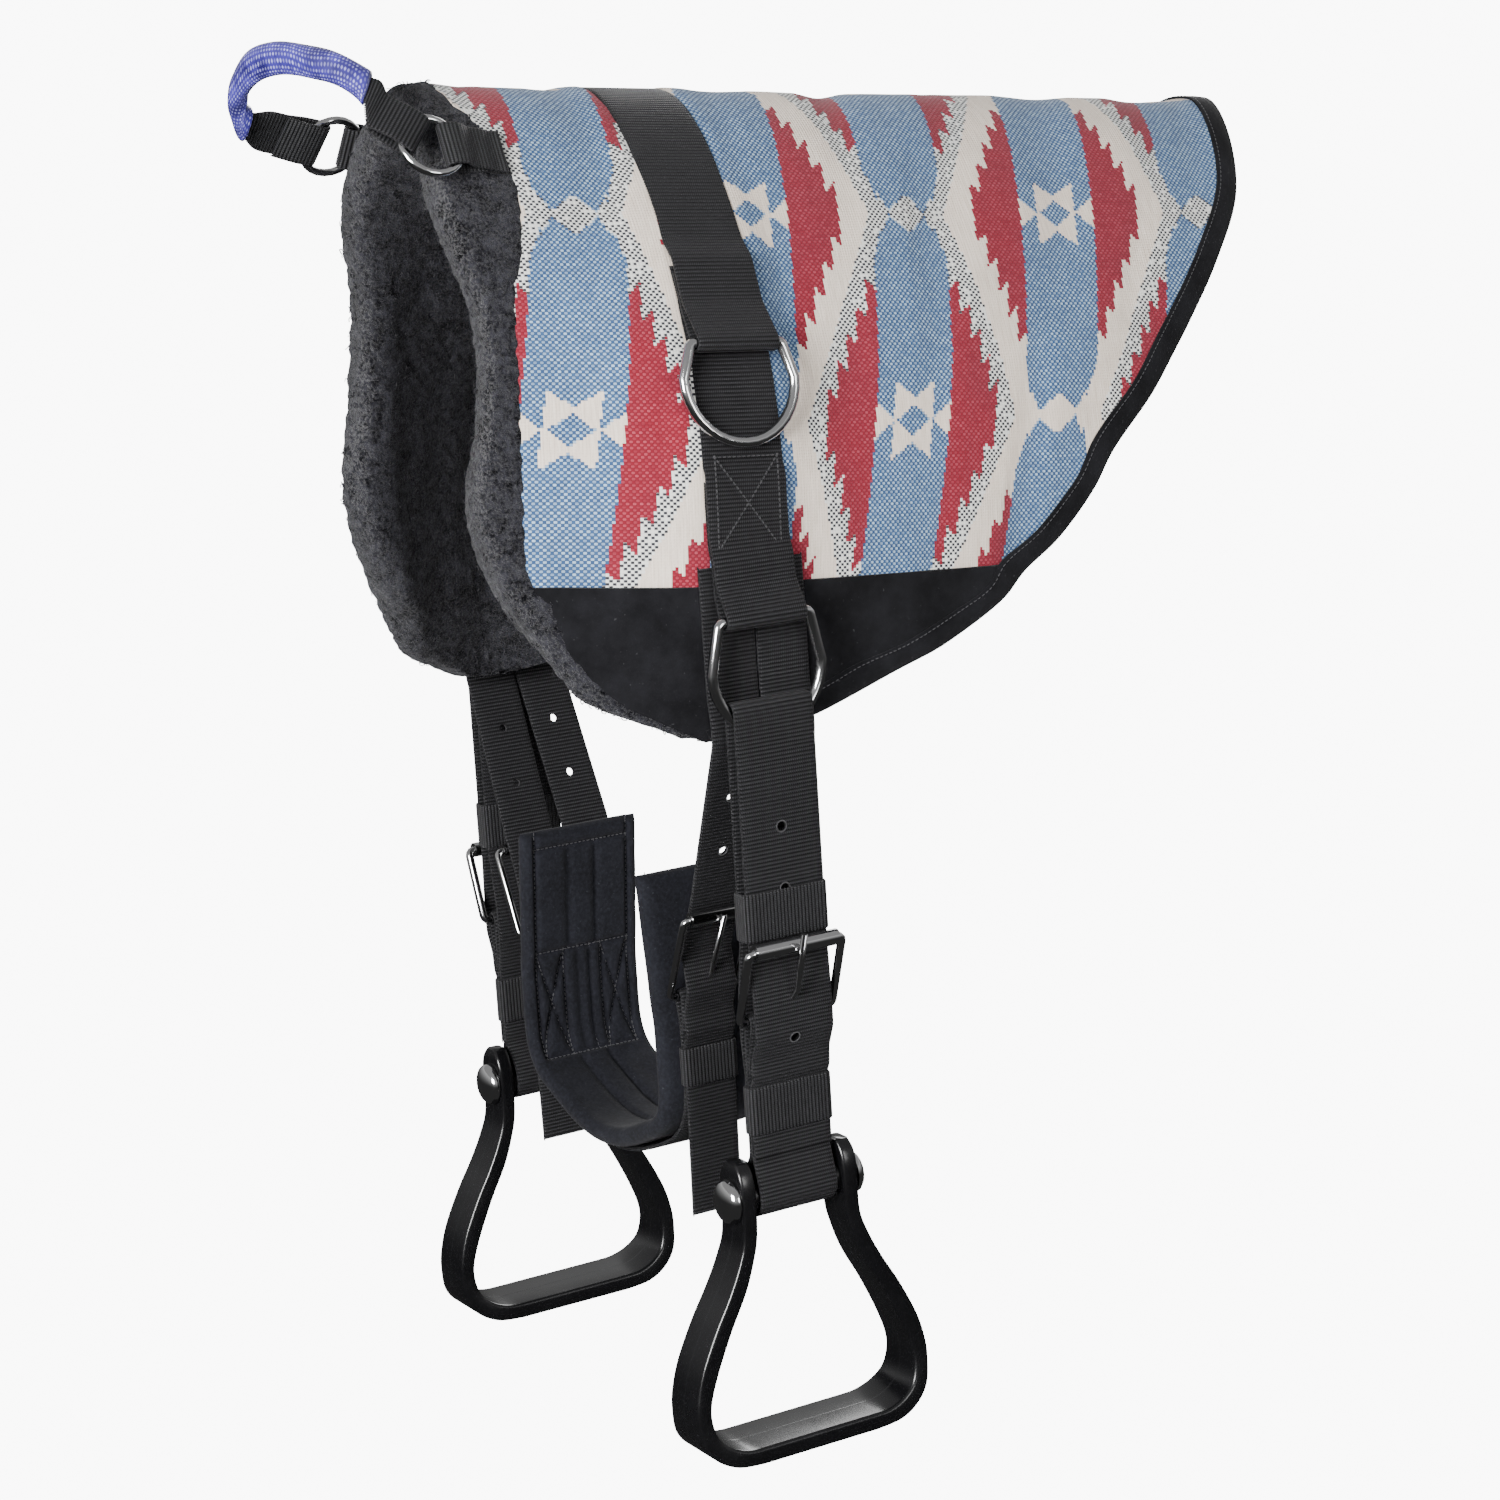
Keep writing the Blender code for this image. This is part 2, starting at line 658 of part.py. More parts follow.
def foam_outline(arc):
    fleece, foam, columns = row_columns(arc)
    outline = [(foam, FOAM_OUT)] + [(along, FOAM_OUT) for along in columns]
    outline += [(columns[k], foam_in(arc, k)) for k in reversed(range(len(columns)))]
    outline.append((foam, foam_in(arc, 0)))
    return outline


def fleece_outline(arc):
    fleece, foam, columns = row_columns(arc)
    deep = fleece_in(arc, 0)
    outline = [(columns[k], fleece_in(arc, k)) for k in reversed(range(len(columns)))]
    outline.append((foam, deep))
    outline += [(fleece + (foam - fleece) * part, deep * depth) for part, depth in ROLL_SHARES]
    gap = FRONT_GAP * edge_spread(arc, 0)
    outline += [(foam, FLEECE_PROUD), (columns[0] - gap, FLEECE_PROUD),
                (columns[0] - gap, FOAM_OUT + 2 * GAP), (foam - gap, FOAM_OUT + 2 * GAP),
                (foam - gap, fleece_out(arc, 0))]
    outline += [(columns[k], fleece_out(arc, k)) for k in range(len(columns))]
    return outline


def binding_outline(arc):
    columns = row_columns(arc)[2]
    last = len(columns) - 1
    spread = edge_spread(arc, last)
    rear = columns[last] + 2 * GAP * spread
    width = min(BINDING_WIDTH * spread, (rear - columns[0]) * BINDING_LIMIT_SHARE)
    edge = rear + BINDING_THICK * spread
    deep = fleece_in(arc, last)
    outline = [(rear - width, BINDING_LIFT), (rear - width, BINDING_LIFT + BINDING_THICK),
               (edge, BINDING_LIFT + BINDING_THICK), (edge, deep), (rear, deep),
               (rear, BINDING_LIFT)]
    return outline


SEAM_ARC = arc_at(SEAM_DROP)
COVER_ARCS = [SEAM_ARC * k / COVER_ROWS for k in range(COVER_ROWS + 1)]
SUEDE_ARCS = [SEAM_ARC + (FLAP_ARC - SEAM_ARC) * k / SUEDE_ROWS for k in range(SUEDE_ROWS + 1)]
SIDE_ARCS = COVER_ARCS[1:] + SUEDE_ARCS[1:]
ALL_ARCS = [-arc for arc in reversed(SIDE_ARCS)] + [0.0] + SIDE_ARCS
COVER_EDGE = SEAM_ARC - GAP / 2
SUEDE_EDGE = SEAM_ARC + GAP / 2


def build_pad():
    inner = COVER_ARCS[1:-1] + [COVER_EDGE]
    rows = [-arc for arc in reversed(inner)] + [0.0] + inner
    pad_layer("woven_cover", rows, cover_outline, CLOTH)
    pad_layer("foam_core", ALL_ARCS, foam_outline, FOAM)
    pad_layer("fleece_lining", ALL_ARCS, fleece_outline, FLEECE)
    pad_layer("edge_binding", ALL_ARCS, binding_outline, SUEDE)
    rows = [SUEDE_EDGE] + SUEDE_ARCS[1:]
    pad_layer("suede_panel_left", rows, cover_outline, SUEDE)
    pad_layer("suede_panel_right", [-arc for arc in reversed(rows)], cover_outline, SUEDE)


# Webs that lie on the pad, in the plane across it where the surcingle runs

def on_pad(drop, lift):
    """A point of that plane on the left side: reach and drop."""
    arc = arc_at(drop)
    point = pad_point(arc, 0, lift) - RIDGE_TOP
    return point.dot(SIDE), point.dot(DOWN)


def follow(start, end, lift):
    """Points along the cover at the rows of its section, ends included."""
    low, high = sorted((arc_at(start), arc_at(end)))
    arcs = [low] + [arc for arc in [0.0] + SIDE_ARCS if low < arc < high] + [high]
    points = []
    for arc in arcs:
        point = pad_point(arc, 0, lift) - RIDGE_TOP
        points.append((point.dot(SIDE), point.dot(DOWN)))
    return points if start <= end else points[::-1]


def pad_plane(point, along=0.0):
    return RIDGE_TOP + SIDE * point[0] + DOWN * point[1] + ALONG * along


def pad_web(name, path, half, sign=1):
    """A web on the pad. Its lower part turns to hang plumb."""
    stations = []
    for point in path:
        place = pad_plane((point[0] * sign, point[1]))
        plumb = smooth_share((point[1] - PATCH_STEP) / (BULGE_START - PATCH_STEP))
        place.y += (LOWER_Y - place.y) * plumb
        across = ALONG.lerp(Vector((0, 1, 0)), plumb).normalized()
        stations.append((place, across * -half, across * half))
    return band(name, stations, WEB_THICK, WEBBING)


# Centres of the rings' bars, in the plane across the pad.
UPPER_BAR = on_pad(UPPER_BAR_DROP, UPPER_BAR_LIFT)
LOWER_BAR = on_pad(LOWER_BAR_DROP, LOWER_BAR_LIFT)
LOWER_BAR_Z = pad_plane(LOWER_BAR).z
UPPER_REST = on_pad(UPPER_BAR_DROP + UPPER_DEE_DEPTH, UPPER_REST_LIFT)
UPPER_LEAN = math.atan2(UPPER_REST[0] - UPPER_BAR[0], UPPER_REST[1] - UPPER_BAR[1])


def build_surcingle():
    lay = GAP + WEB_THICK / 2
    down = follow(0, SURCINGLE_RISE_START, lay)[1:]
    down += follow(SURCINGLE_RISE_END, SURCINGLE_BULGE, lay + 2 * PLY)
    around = arc_points(UPPER_BAR, FOLD_RADIUS, -25, 180, 2 * ARC_STEPS)
    back = [on_pad(SURCINGLE_BULGE + SURCINGLE_TURN, lay + PLY)]
    back += follow(SURCINGLE_BULGE - SURCINGLE_TURN, SURCINGLE_TAIL, lay + PLY)
    left = down + around + back
    right = [(-x, h) for x, h in reversed(left)]
    top = follow(0, SURCINGLE_RISE_START, lay)[:1]
    pad_web("surcingle_web", right + top + left, WEB_WIDTH / 2)


def build_ring_webs():
    lay = GAP + WEB_THICK / 2
    over = STRAP_THICK + GAP
    front = follow(RING_WEB_TOP, PATCH_TOP, lay)
    front += follow(PATCH_STEP, BILLET_COVERED, lay + PLY)
    front += follow(BILLET_STEP, BULGE_START, lay + PLY + over)
    around = arc_points(LOWER_BAR, FOLD_RADIUS, -35, 180, 2 * ARC_STEPS)
    back = follow(BULGE_START + RING_WEB_TURN, BILLET_STEP, lay + over)
    back += follow(BILLET_COVERED, PATCH_TAIL, lay)
    for side, sign in (("left", 1), ("right", -1)):
        pad_web("ring_web_" + side, front + around + back, WEB_WIDTH / 2, sign)


def dee_outline(depth):
    """Centre line of a ring: along its bar and down from it."""
    bend = RING_BEND
    centre = depth - RING_BULGE
    points = [(-RING_BAR_HALF + bend, 0), (RING_BAR_HALF - bend, 0)]
    points += arc_points((RING_BAR_HALF - bend, bend), bend, -60, 0, 2)
    points += arc_points((0, centre), RING_BULGE, 0, 180, 18)
    points += arc_points((bend - RING_BAR_HALF, bend), bend, 180, 240, 2)
    return points


def build_dees():
    for side, sign in (("left", 1), ("right", -1)):
        points = []
        for along, drop in dee_outline(UPPER_DEE_DEPTH):
            place = (sign * (UPPER_BAR[0] + drop * math.sin(UPPER_LEAN)),
                     UPPER_BAR[1] + drop * math.cos(UPPER_LEAN))
            points.append(pad_plane(place, along))
        wire("upper_dee_" + side, points, RING_WIRE, NICKEL)
        points = []
        for along, drop in dee_outline(LOWER_DEE_DEPTH):
            points.append(Vector((sign * LOWER_BAR[0], LOWER_Y + along, LOWER_BAR_Z - drop)))
        wire("lower_dee_" + side, points, RING_WIRE, NICKEL)


# Straps and buckles, in the upright plane across the pad

def upright_web(name, path, centre, half, thick, material, sign=1):
    """A web along points of reach, height and optional centre."""
    stations = []
    for point in path:
        middle = point[2] if len(point) > 2 else centre
        stations.append((Vector((sign * point[0], middle, point[1])),
                         Vector((0, -half, 0)), Vector((0, half, 0))))
    return band(name, stations, thick, material)


def lean_place(hinge, lean, across, up):
    """A point across and up from a hinge bar, leaning outwards."""
    return (hinge[0] + up * math.sin(lean) + across * math.cos(lean),
            hinge[1] + up * math.cos(lean) - across * math.sin(lean))


STRAP_TOP_Z = LOWER_BAR_Z - LOWER_DEE_DEPTH + STRAP_RIDE
STRAP_X = LOWER_BAR[0]
STRAP_HINGE = (STRAP_X - HINGE_IN, STRAP_TOP_Z - HINGE_DROP)
TOP_KEEPER_Z = STRAP_TOP_Z - TOP_KEEPER_DROP
LOW_KEEPER_Z = STRAP_TOP_Z - LOW_KEEPER_DROP
SPOOL_X = STRAP_X - SPOOL_IN
BOLT_Z = STRAP_TOP_Z - BOLT_DROP
STRAP_PLY = STRAP_THICK + GAP
STRAP_REAR = STRAP_X - STRAP_FOLD
STRAP_FRONT = STRAP_X + STRAP_FOLD
STACK_X = STRAP_REAR - STACK_IN


def strap_path():
    """The strap from its end on the buckle to its free end."""
    hinge_x, hinge_z = STRAP_HINGE
    fold = STRAP_BUCKLE_WIRE + GAP + STRAP_THICK / 2
    tail = STACK_X + 2 * STRAP_PLY
    passing = STRAP_BUCKLE_WIRE + 2 * GAP + 2 * STRAP_TONGUE + STRAP_THICK / 2 + PASS_GAP
    flat = hinge_z - STACK_DROP
    below_top = TOP_KEEPER_Z - KEEPER_TALL / 2 - KEEPER_CLEAR
    below_low = LOW_KEEPER_Z - KEEPER_TALL
    path = [(tail, flat), (tail + TAIL_SWELL, flat + WEB_EASE)]
    path += arc_points(STRAP_HINGE, fold, -20, 200, 8)
    path += [(STACK_X + STRAP_PLY, flat + WEB_EASE), (STACK_X + STRAP_PLY, below_low)]
    path += arc_points((SPOOL_X, BOLT_Z), SPOOL_FOLD, 20, -180, 10)
    path += [(SPOOL_X - SPOOL_FOLD + SPOOL_EASE, BOLT_Z + WEB_EASE), (STACK_X, below_low)]
    path += [(STACK_X, flat), (hinge_x - passing, hinge_z - REAR_PASS_DROP)]
    path += [(hinge_x - passing, hinge_z + WEB_EASE), (STRAP_REAR, below_top)]
    path += arc_points((STRAP_X, STRAP_TOP_Z), STRAP_FOLD, 180, 0, 8)
    path += [(STRAP_FRONT, below_top), (hinge_x + passing, hinge_z + WEB_EASE)]
    path += [(hinge_x + passing, hinge_z - FREE_PASS_DROP)]
    path += [(tail + STRAP_PLY + FREE_SWELL, flat + WEB_EASE)]
    path += [(tail + STRAP_PLY + GAP, flat - FREE_DIP), (tail, flat - WEB_EASE), (tail, below_low)]
    return path


def rounded_frame(half, reach, radius):
    """Centre line of a buckle frame: along Y and up from the hinge bar."""
    right_top = arc_points((half - radius, reach - radius), radius, 0, 90, 3)
    left_top = arc_points((radius - half, reach - radius), radius, 90, 180, 3)
    left_low = arc_points((radius - half, radius), radius, 180, 270, 3)
    right_low = arc_points((half - radius, radius), radius, 270, 360, 3)
    return right_top + left_top + left_low + right_low


def build_buckle(prefix, side, sign, hinge, lean, middle, sizes, tongue_path):
    """Frame, roller and tongue of one buckle."""
    half, reach, thin, roller, tongue = sizes
    points = []
    for along, up in rounded_frame(half, reach, CORNER):
        x, z = lean_place(hinge, lean, 0, up)
        points.append(Vector((sign * x, middle + along, z)))
    wire(prefix + "_buckle_frame_" + side, points, thin, NICKEL, sides=3)
    x, z = lean_place(hinge, lean, 0, reach)
    long = half - CORNER
    place = Matrix.Translation((sign * x, middle, z))
    profile = [(roller, -long), (roller, long), (thin + GAP, long), (thin + GAP, -long)]
    revolve(prefix + "_roller_" + side, profile, place, NICKEL)
    loop = thin + GAP + tongue
    points = arc_points(hinge, loop, -285, 0, 9)
    points += tongue_path
    points = [Vector((sign * x, middle, z)) for x, z in points]
    wire(prefix + "_tongue_" + side, points, tongue, NICKEL, closed=False, sides=2)


def keeper(name, inner, outer, centre, half, level, tall, material, sign):
    """A flat loop round a stack of plies."""
    near = (inner - GAP, outer + GAP)
    far = (inner - GAP - KEEPER_THICK, outer + GAP + KEEPER_THICK)
    wide = half + GAP
    hole = [(near[0], -wide), (near[1], -wide), (near[1], wide), (near[0], wide)]
    rim = wide + KEEPER_THICK
    wall = [(far[0], -rim), (far[1], -rim), (far[1], rim), (far[0], rim)]
    bm = bmesh.new()
    low = level - tall / 2
    edges = []
    for outline in (wall, hole):
        corners = [bm.verts.new((sign * x, centre + y, low)) for x, y in outline]
        edges += [bm.edges.new(pair) for pair in zip(corners, corners[1:] + corners[:1])]
    rim = bmesh.ops.bridge_loops(bm, edges=edges)["faces"]
    grown = bmesh.ops.extrude_face_region(bm, geom=rim)["geom"]
    raised = [item for item in grown if isinstance(item, bmesh.types.BMVert)]
    bmesh.ops.translate(bm, vec=(0, 0, tall), verts=raised)
    return finish(name, bm, material)


ACROSS = Matrix.Rotation(math.pi / 2, 4, "Y")


def build_straps():
    hinge_x, hinge_z = STRAP_HINGE
    path = strap_path()
    sizes = (STRAP_BUCKLE_HALF, STRAP_BUCKLE_REACH, STRAP_BUCKLE_WIRE, STRAP_ROLLER, STRAP_TONGUE)
    loop = STRAP_BUCKLE_WIRE + GAP + STRAP_TONGUE
    tongue_path = [(hinge_x + loop, hinge_z + WEB_EASE),
                   (hinge_x + loop + TONGUE_STEP_OUT, hinge_z + TONGUE_STEP_UP),
                   lean_place(STRAP_HINGE, STRAP_LEAN, STRAP_ROLLER + GAP + STRAP_TONGUE,
                              STRAP_BUCKLE_REACH + STRAP_TIP_PAST)]
    half_thick = STRAP_THICK / 2
    for side, sign in (("left", 1), ("right", -1)):
        strap = upright_web("stirrup_strap_" + side, path, 0, STRAP_HALF, STRAP_THICK, WEBBING, sign)
        slot = (FOLD_SLOT_DEEP, 2 * STRAP_TONGUE + TONGUE_ROOM, FOLD_SLOT_TALL)
        cutters = [block(slot, (sign * hinge_x, 0, hinge_z))]
        shift = Matrix.Translation((sign * (STRAP_FRONT + half_thick), 0, hinge_z + TONGUE_HOLE_UP))
        cutters.append(peg(TONGUE_HOLE, TONGUE_HOLE_CUT, shift @ ACROSS, TONGUE_HOLE_SHARE))
        for drop in HOLE_DROPS:
            shift = Matrix.Translation((sign * STRAP_FRONT, 0, STRAP_TOP_Z - drop))
            cutters.append(peg(STRAP_HOLE, HOLE_CUT, shift @ ACROSS))
        cut(strap, cutters)
        build_buckle("strap", side, sign, STRAP_HINGE, STRAP_LEAN, 0, sizes, tongue_path)
        keeper("strap_keeper_top_" + side, STRAP_REAR - half_thick, STRAP_FRONT + half_thick, 0,
               STRAP_HALF, TOP_KEEPER_Z, KEEPER_TALL, WEBBING, sign)
        keeper("strap_keeper_low_" + side, STACK_X - half_thick,
               STACK_X + 2 * STRAP_PLY + half_thick, 0, STRAP_HALF, LOW_KEEPER_Z, KEEPER_TALL,
               WEBBING, sign)


# Stirrups

def stirrup_section(outer, inner, outer_z, inner_z, depth, mirror):
    """Chamfered section of the stirrup's band."""
    out = Vector((0, mirror * outer * STIRRUP_DROP, outer_z * STIRRUP_DROP))
    near = Vector((0, mirror * inner * STIRRUP_DROP, inner_z * STIRRUP_DROP))
    half = depth * STIRRUP_DROP / 2
    step = (near - out).normalized() * STIRRUP_CHAMFER
    thin = half - STIRRUP_CHAMFER
    return [out + SIDE * thin, out + step + SIDE * half, near - step + SIDE * half,
            near + SIDE * thin, near - SIDE * thin, near - step - SIDE * half,
            out + step - SIDE * half, out - SIDE * thin]


def build_stirrups():
    eye = EYE_OUTER + GAP
    head = [(0, -eye - HEAD_RISE)]
    for step in range(1, 6):
        angle = math.pi / 2 * step / 5
        head.append((BOLT_HEAD * math.sin(angle), -eye - HEAD_RIM
                     - (HEAD_RISE - HEAD_RIM) * math.cos(angle)))
    head.append((BOLT_HEAD, -eye))
    shank_end = eye + HEAD_RISE * NUT_BORE_SHARE - GAP
    bolt = head + [(BOLT_RADIUS, -eye), (BOLT_RADIUS, shank_end), (0, shank_end)]
    nut = [(x, -y) for x, y in head]
    bore = BOLT_RADIUS + GAP
    nut += [(bore, eye), (bore, shank_end + GAP), (0, shank_end + GAP)]
    half = EYE_OUTER * SPOOL_SHARE
    spool = [(SPOOL_RADIUS, -half), (SPOOL_RADIUS, half), (bore, half), (bore, -half)]
    for side, sign in (("left", 1), ("right", -1)):
        place = Matrix.Translation((sign * SPOOL_X, 0, BOLT_Z))
        rings = [stirrup_section(*shares, -1) for shares in STIRRUP_SHARES]
        rings += [stirrup_section(*shares, 1) for shares in reversed(STIRRUP_SHARES)]
        rings = [[place @ point for point in ring] for ring in rings]
        frame = loft("stirrup_frame_" + side, rings, PLASTIC, True)
        lie = Matrix.Rotation(math.pi / 2, 4, "X")
        cut(frame, [peg(bore, 4 * EYE_OUTER, place @ lie, steps=20)])
        revolve("stirrup_bolt_" + side, bolt, place, NICKEL)
        revolve("stirrup_nut_" + side, nut, place, NICKEL)
        revolve("stirrup_spool_" + side, spool, place, PLASTIC, steps=20)


# Girth

def offset_path(path, distance):
    """The path moved outwards, to the right of its direction of travel."""
    moved = []
    for index, point in enumerate(path):
        before = Vector(path[max(index - 1, 0)])
        after = Vector(path[min(index + 1, len(path) - 1)])
        travel = (after - before).normalized()
        moved.append((point[0] - travel.y * distance, point[1] + travel.x * distance))
    return moved


PAD_EDGE_Z = pad_plane(on_pad(PAD_DROP, 0)).z
GIRTH_TOP_Z = PAD_EDGE_Z - GIRTH_HANG
GIRTH_HINGE = (GIRTH_REACH + GIRTH_HINGE_OUT, GIRTH_TOP_Z - GIRTH_HINGE_DROP)
GIRTH_KEEPER_Z = GIRTH_TOP_Z - GIRTH_KEEPER_DROP
GIRTH_SIDE = [(GIRTH_REACH * x, GIRTH_TOP_Z - GIRTH_DEPTH * z) for x, z in GIRTH_PATH_SHARES]
GIRTH_LINE = GIRTH_SIDE + [(-x, z) for x, z in reversed(GIRTH_SIDE)]
GIRTH_OUTER = offset_path(GIRTH_LINE, GIRTH_PAD_THICK)
GIRTH_WEB_LINE = offset_path(GIRTH_LINE, GIRTH_PAD_THICK + GIRTH_WEB_LIFT + STRAP_THICK / 2)


def build_girth_pad():
    last = len(GIRTH_LINE) - 1
    rings = []
    for index, (inner, outer) in enumerate(zip(GIRTH_LINE, GIRTH_OUTER)):
        station = min(index, last - index)
        puff = SEAM_PUFF_SHARE if station in CROSS_SEAMS else 1.0
        ring = []
        for across, height in QUILT_SHARES:
            share = height * puff
            x = outer[0] + (inner[0] - outer[0]) * share
            z = outer[1] + (inner[1] - outer[1]) * share
            ring.append(Vector((x, GIRTH_Y + across * GIRTH_HALF, z)))
        rings.append(ring)
    loft("girth_pad", rings, QUILT, True)


def girth_web_side():
    """The left end of the girth web: from its sewn tail round the bar."""
    fold = GIRTH_BUCKLE_WIRE + GAP + STRAP_THICK / 2
    lowest = GIRTH_HINGE[1] - GIRTH_TAIL_DROP
    line = [point for point in GIRTH_WEB_LINE if point[0] > 0 and point[1] < lowest]
    x, z = line[0]
    tail = [(x + STRAP_PLY + GAP, z - GIRTH_TAIL_END), (x + STRAP_PLY + FREE_SWELL, z)]
    return tail + arc_points(GIRTH_HINGE, fold, -25, 190, 8) + line


def girth_local(across, up):
    return lean_place(GIRTH_HINGE, GIRTH_LEAN, across, up)


def billet_top():
    """A billet's stations from its sewn end to the pad's lower edge."""
    lay = GAP + STRAP_THICK / 2
    way = [LOWER_BAR_DROP + (PAD_DROP - LOWER_BAR_DROP) * share for share in BILLET_WAY_SHARES]
    lifts = [lay, lay + BILLET_SWELL, BILLET_EDGE_LIFT, BILLET_EDGE_LIFT]
    drops = [BILLET_TOP, BULGE_START, LOWER_BAR_DROP] + way
    points = [on_pad(drop, lift) for drop, lift in zip(drops, [lay, lay, lay] + lifts)]
    return [(point[0], pad_plane(point).z) for point in points]


def billet_bottom(outer):
    """Round the buckle's roller and down through the keeper to the free end."""
    inside = GIRTH_ROLLER + GAP + STRAP_THICK / 2
    passing = GIRTH_BUCKLE_WIRE + 2 * GAP + 2 * GIRTH_TONGUE + STRAP_THICK / 2 + BILLET_PASS_GAP
    keeper_top = GIRTH_KEEPER_Z + GIRTH_KEEPER_TALL / 2 + NUDGE
    keeper_low = GIRTH_KEEPER_Z - GIRTH_KEEPER_TALL / 2 - NUDGE
    laid = outer + STRAP_PLY / 2 + BILLET_LAY_GAP
    return [
        girth_local(-inside, GIRTH_BUCKLE_REACH + BILLET_OVER),
        girth_local(-inside, GIRTH_BUCKLE_REACH - BILLET_UNDER),
        girth_local(-BILLET_CROSS_IN, BILLET_CROSS_UP),
        girth_local(passing, BILLET_PASS_UP),
        girth_local(passing + BILLET_LOW_SWELL, -BILLET_PASS_DOWN),
        (laid + STRAP_PLY + BILLET_SETTLE_OUT, keeper_top + BILLET_SETTLE),
        (laid, keeper_top), (laid, keeper_low),
        (outer - BILLET_END_IN, GIRTH_TOP_Z - BILLET_END_DROP),
    ]


def build_girth():
    build_girth_pad()
    half = BILLET_WIDTH / 2
    left = girth_web_side()
    right = [(-x, z) for x, z in reversed(left)]
    strap = upright_web("girth_strap", left + right, GIRTH_WEB_Y, half, STRAP_THICK, WEBBING)
    hinge_x, hinge_z = GIRTH_HINGE
    slot = (GIRTH_SLOT, 2 * GIRTH_TONGUE + TONGUE_ROOM, GIRTH_SLOT)
    cut(strap, [block(slot, (sign * hinge_x, GIRTH_WEB_Y, hinge_z)) for sign in (1, -1)])
    sizes = (GIRTH_BUCKLE_HALF, GIRTH_BUCKLE_REACH, GIRTH_BUCKLE_WIRE, GIRTH_ROLLER, GIRTH_TONGUE)
    loop = GIRTH_BUCKLE_WIRE + GAP + GIRTH_TONGUE
    tongue_path = [girth_local(loop, GIRTH_TONGUE_UP),
                   girth_local(GIRTH_ROLLER + GAP + GIRTH_TONGUE + PASS_GAP,
                               GIRTH_BUCKLE_REACH + GIRTH_TIP_PAST)]
    outer = GIRTH_WEB_LINE[KEEPER_STATION][0] + STRAP_THICK / 2
    upper = billet_top()
    lower = billet_bottom(outer)
    hole_x = (upper[-1][0] + lower[0][0]) / 2
    hole_y = (BILLET_FRONT_Y + GIRTH_WEB_Y) / 2
    for side, sign in (("left", 1), ("right", -1)):
        build_buckle("girth", side, sign, GIRTH_HINGE, GIRTH_LEAN, GIRTH_WEB_Y, sizes, tongue_path)
        path = [(x, z, BILLET_FRONT_Y) for x, z in upper]
        path += [(x, z, GIRTH_WEB_Y) for x, z in lower]
        billet = upright_web("girth_billet_" + side, path, 0, half, STRAP_THICK, WEBBING, sign)
        x, z = girth_local(GIRTH_HOLE_IN, GIRTH_HOLE_UP)
        turn = Matrix.Translation((sign * x, GIRTH_WEB_Y, z)) @ Matrix.Rotation(
            math.pi / 2 + sign * GIRTH_LEAN, 4, "Y")
        cutters = [peg(BILLET_HOLE, GIRTH_HOLE_CUT, turn, GIRTH_HOLE_SHARE)]
        for drop in BILLET_HOLE_DROPS:
            shift = Matrix.Translation((sign * hole_x, hole_y, PAD_EDGE_Z - drop))
            cutters.append(peg(BILLET_HOLE, BILLET_HOLE_CUT, shift @ ACROSS))
        cut(billet, cutters)
        path = [(x, z, SPARE_Y) for x, z in upper]
        path += [(lower[0][0] + SPARE_STEP, lower[0][1], SPARE_LOW_Y)]
        path += [(hinge_x + SPARE_END_OUT, hinge_z, SPARE_LOW_Y)]
        upright_web("spare_billet_" + side, path, 0, half, STRAP_THICK, WEBBING, sign)
        keeper("girth_keeper_" + side, outer - STRAP_THICK, outer + STRAP_PLY + GIRTH_KEEPER_ROOM,
               GIRTH_WEB_Y, half, GIRTH_KEEPER_Z, GIRTH_KEEPER_TALL, WEBBING, sign)


# Grab handle

def ring_frame(sign):
    """Centre of a handle ring, forwards, up the slope and out of the pad."""
    arc = sign * arc_at(HANDLE_DROP)
    down, out = surface_axes(arc, HANDLE_ALONG)
    centre = pad_point(arc, HANDLE_ALONG, HANDLE_LIFT)
    up = -down * sign
    forward = out.cross(up) * sign
    if forward.dot(ALONG) > 0:
        forward = -forward
    return centre, forward, up, out


def tab_points(arc, shares):
    """Points of a tab behind its ring."""
    lay = GAP + WEB_THICK / 2
    rear = HANDLE_ALONG + HANDLE_REACH + HANDLE_FOLD
    return [pad_point(arc, rear + TAB_LENGTH * back, lay + HANDLE_LIFT * rise) for back, rise in shares]


def fold_points(centre, away, out):
    """The turn of a web round the far side of a handle ring."""
    return [centre + away * (HANDLE_REACH + HANDLE_FOLD - x) + out * y
            for x, y in arc_points((0, 0), HANDLE_FOLD, -90, 90, 6)]


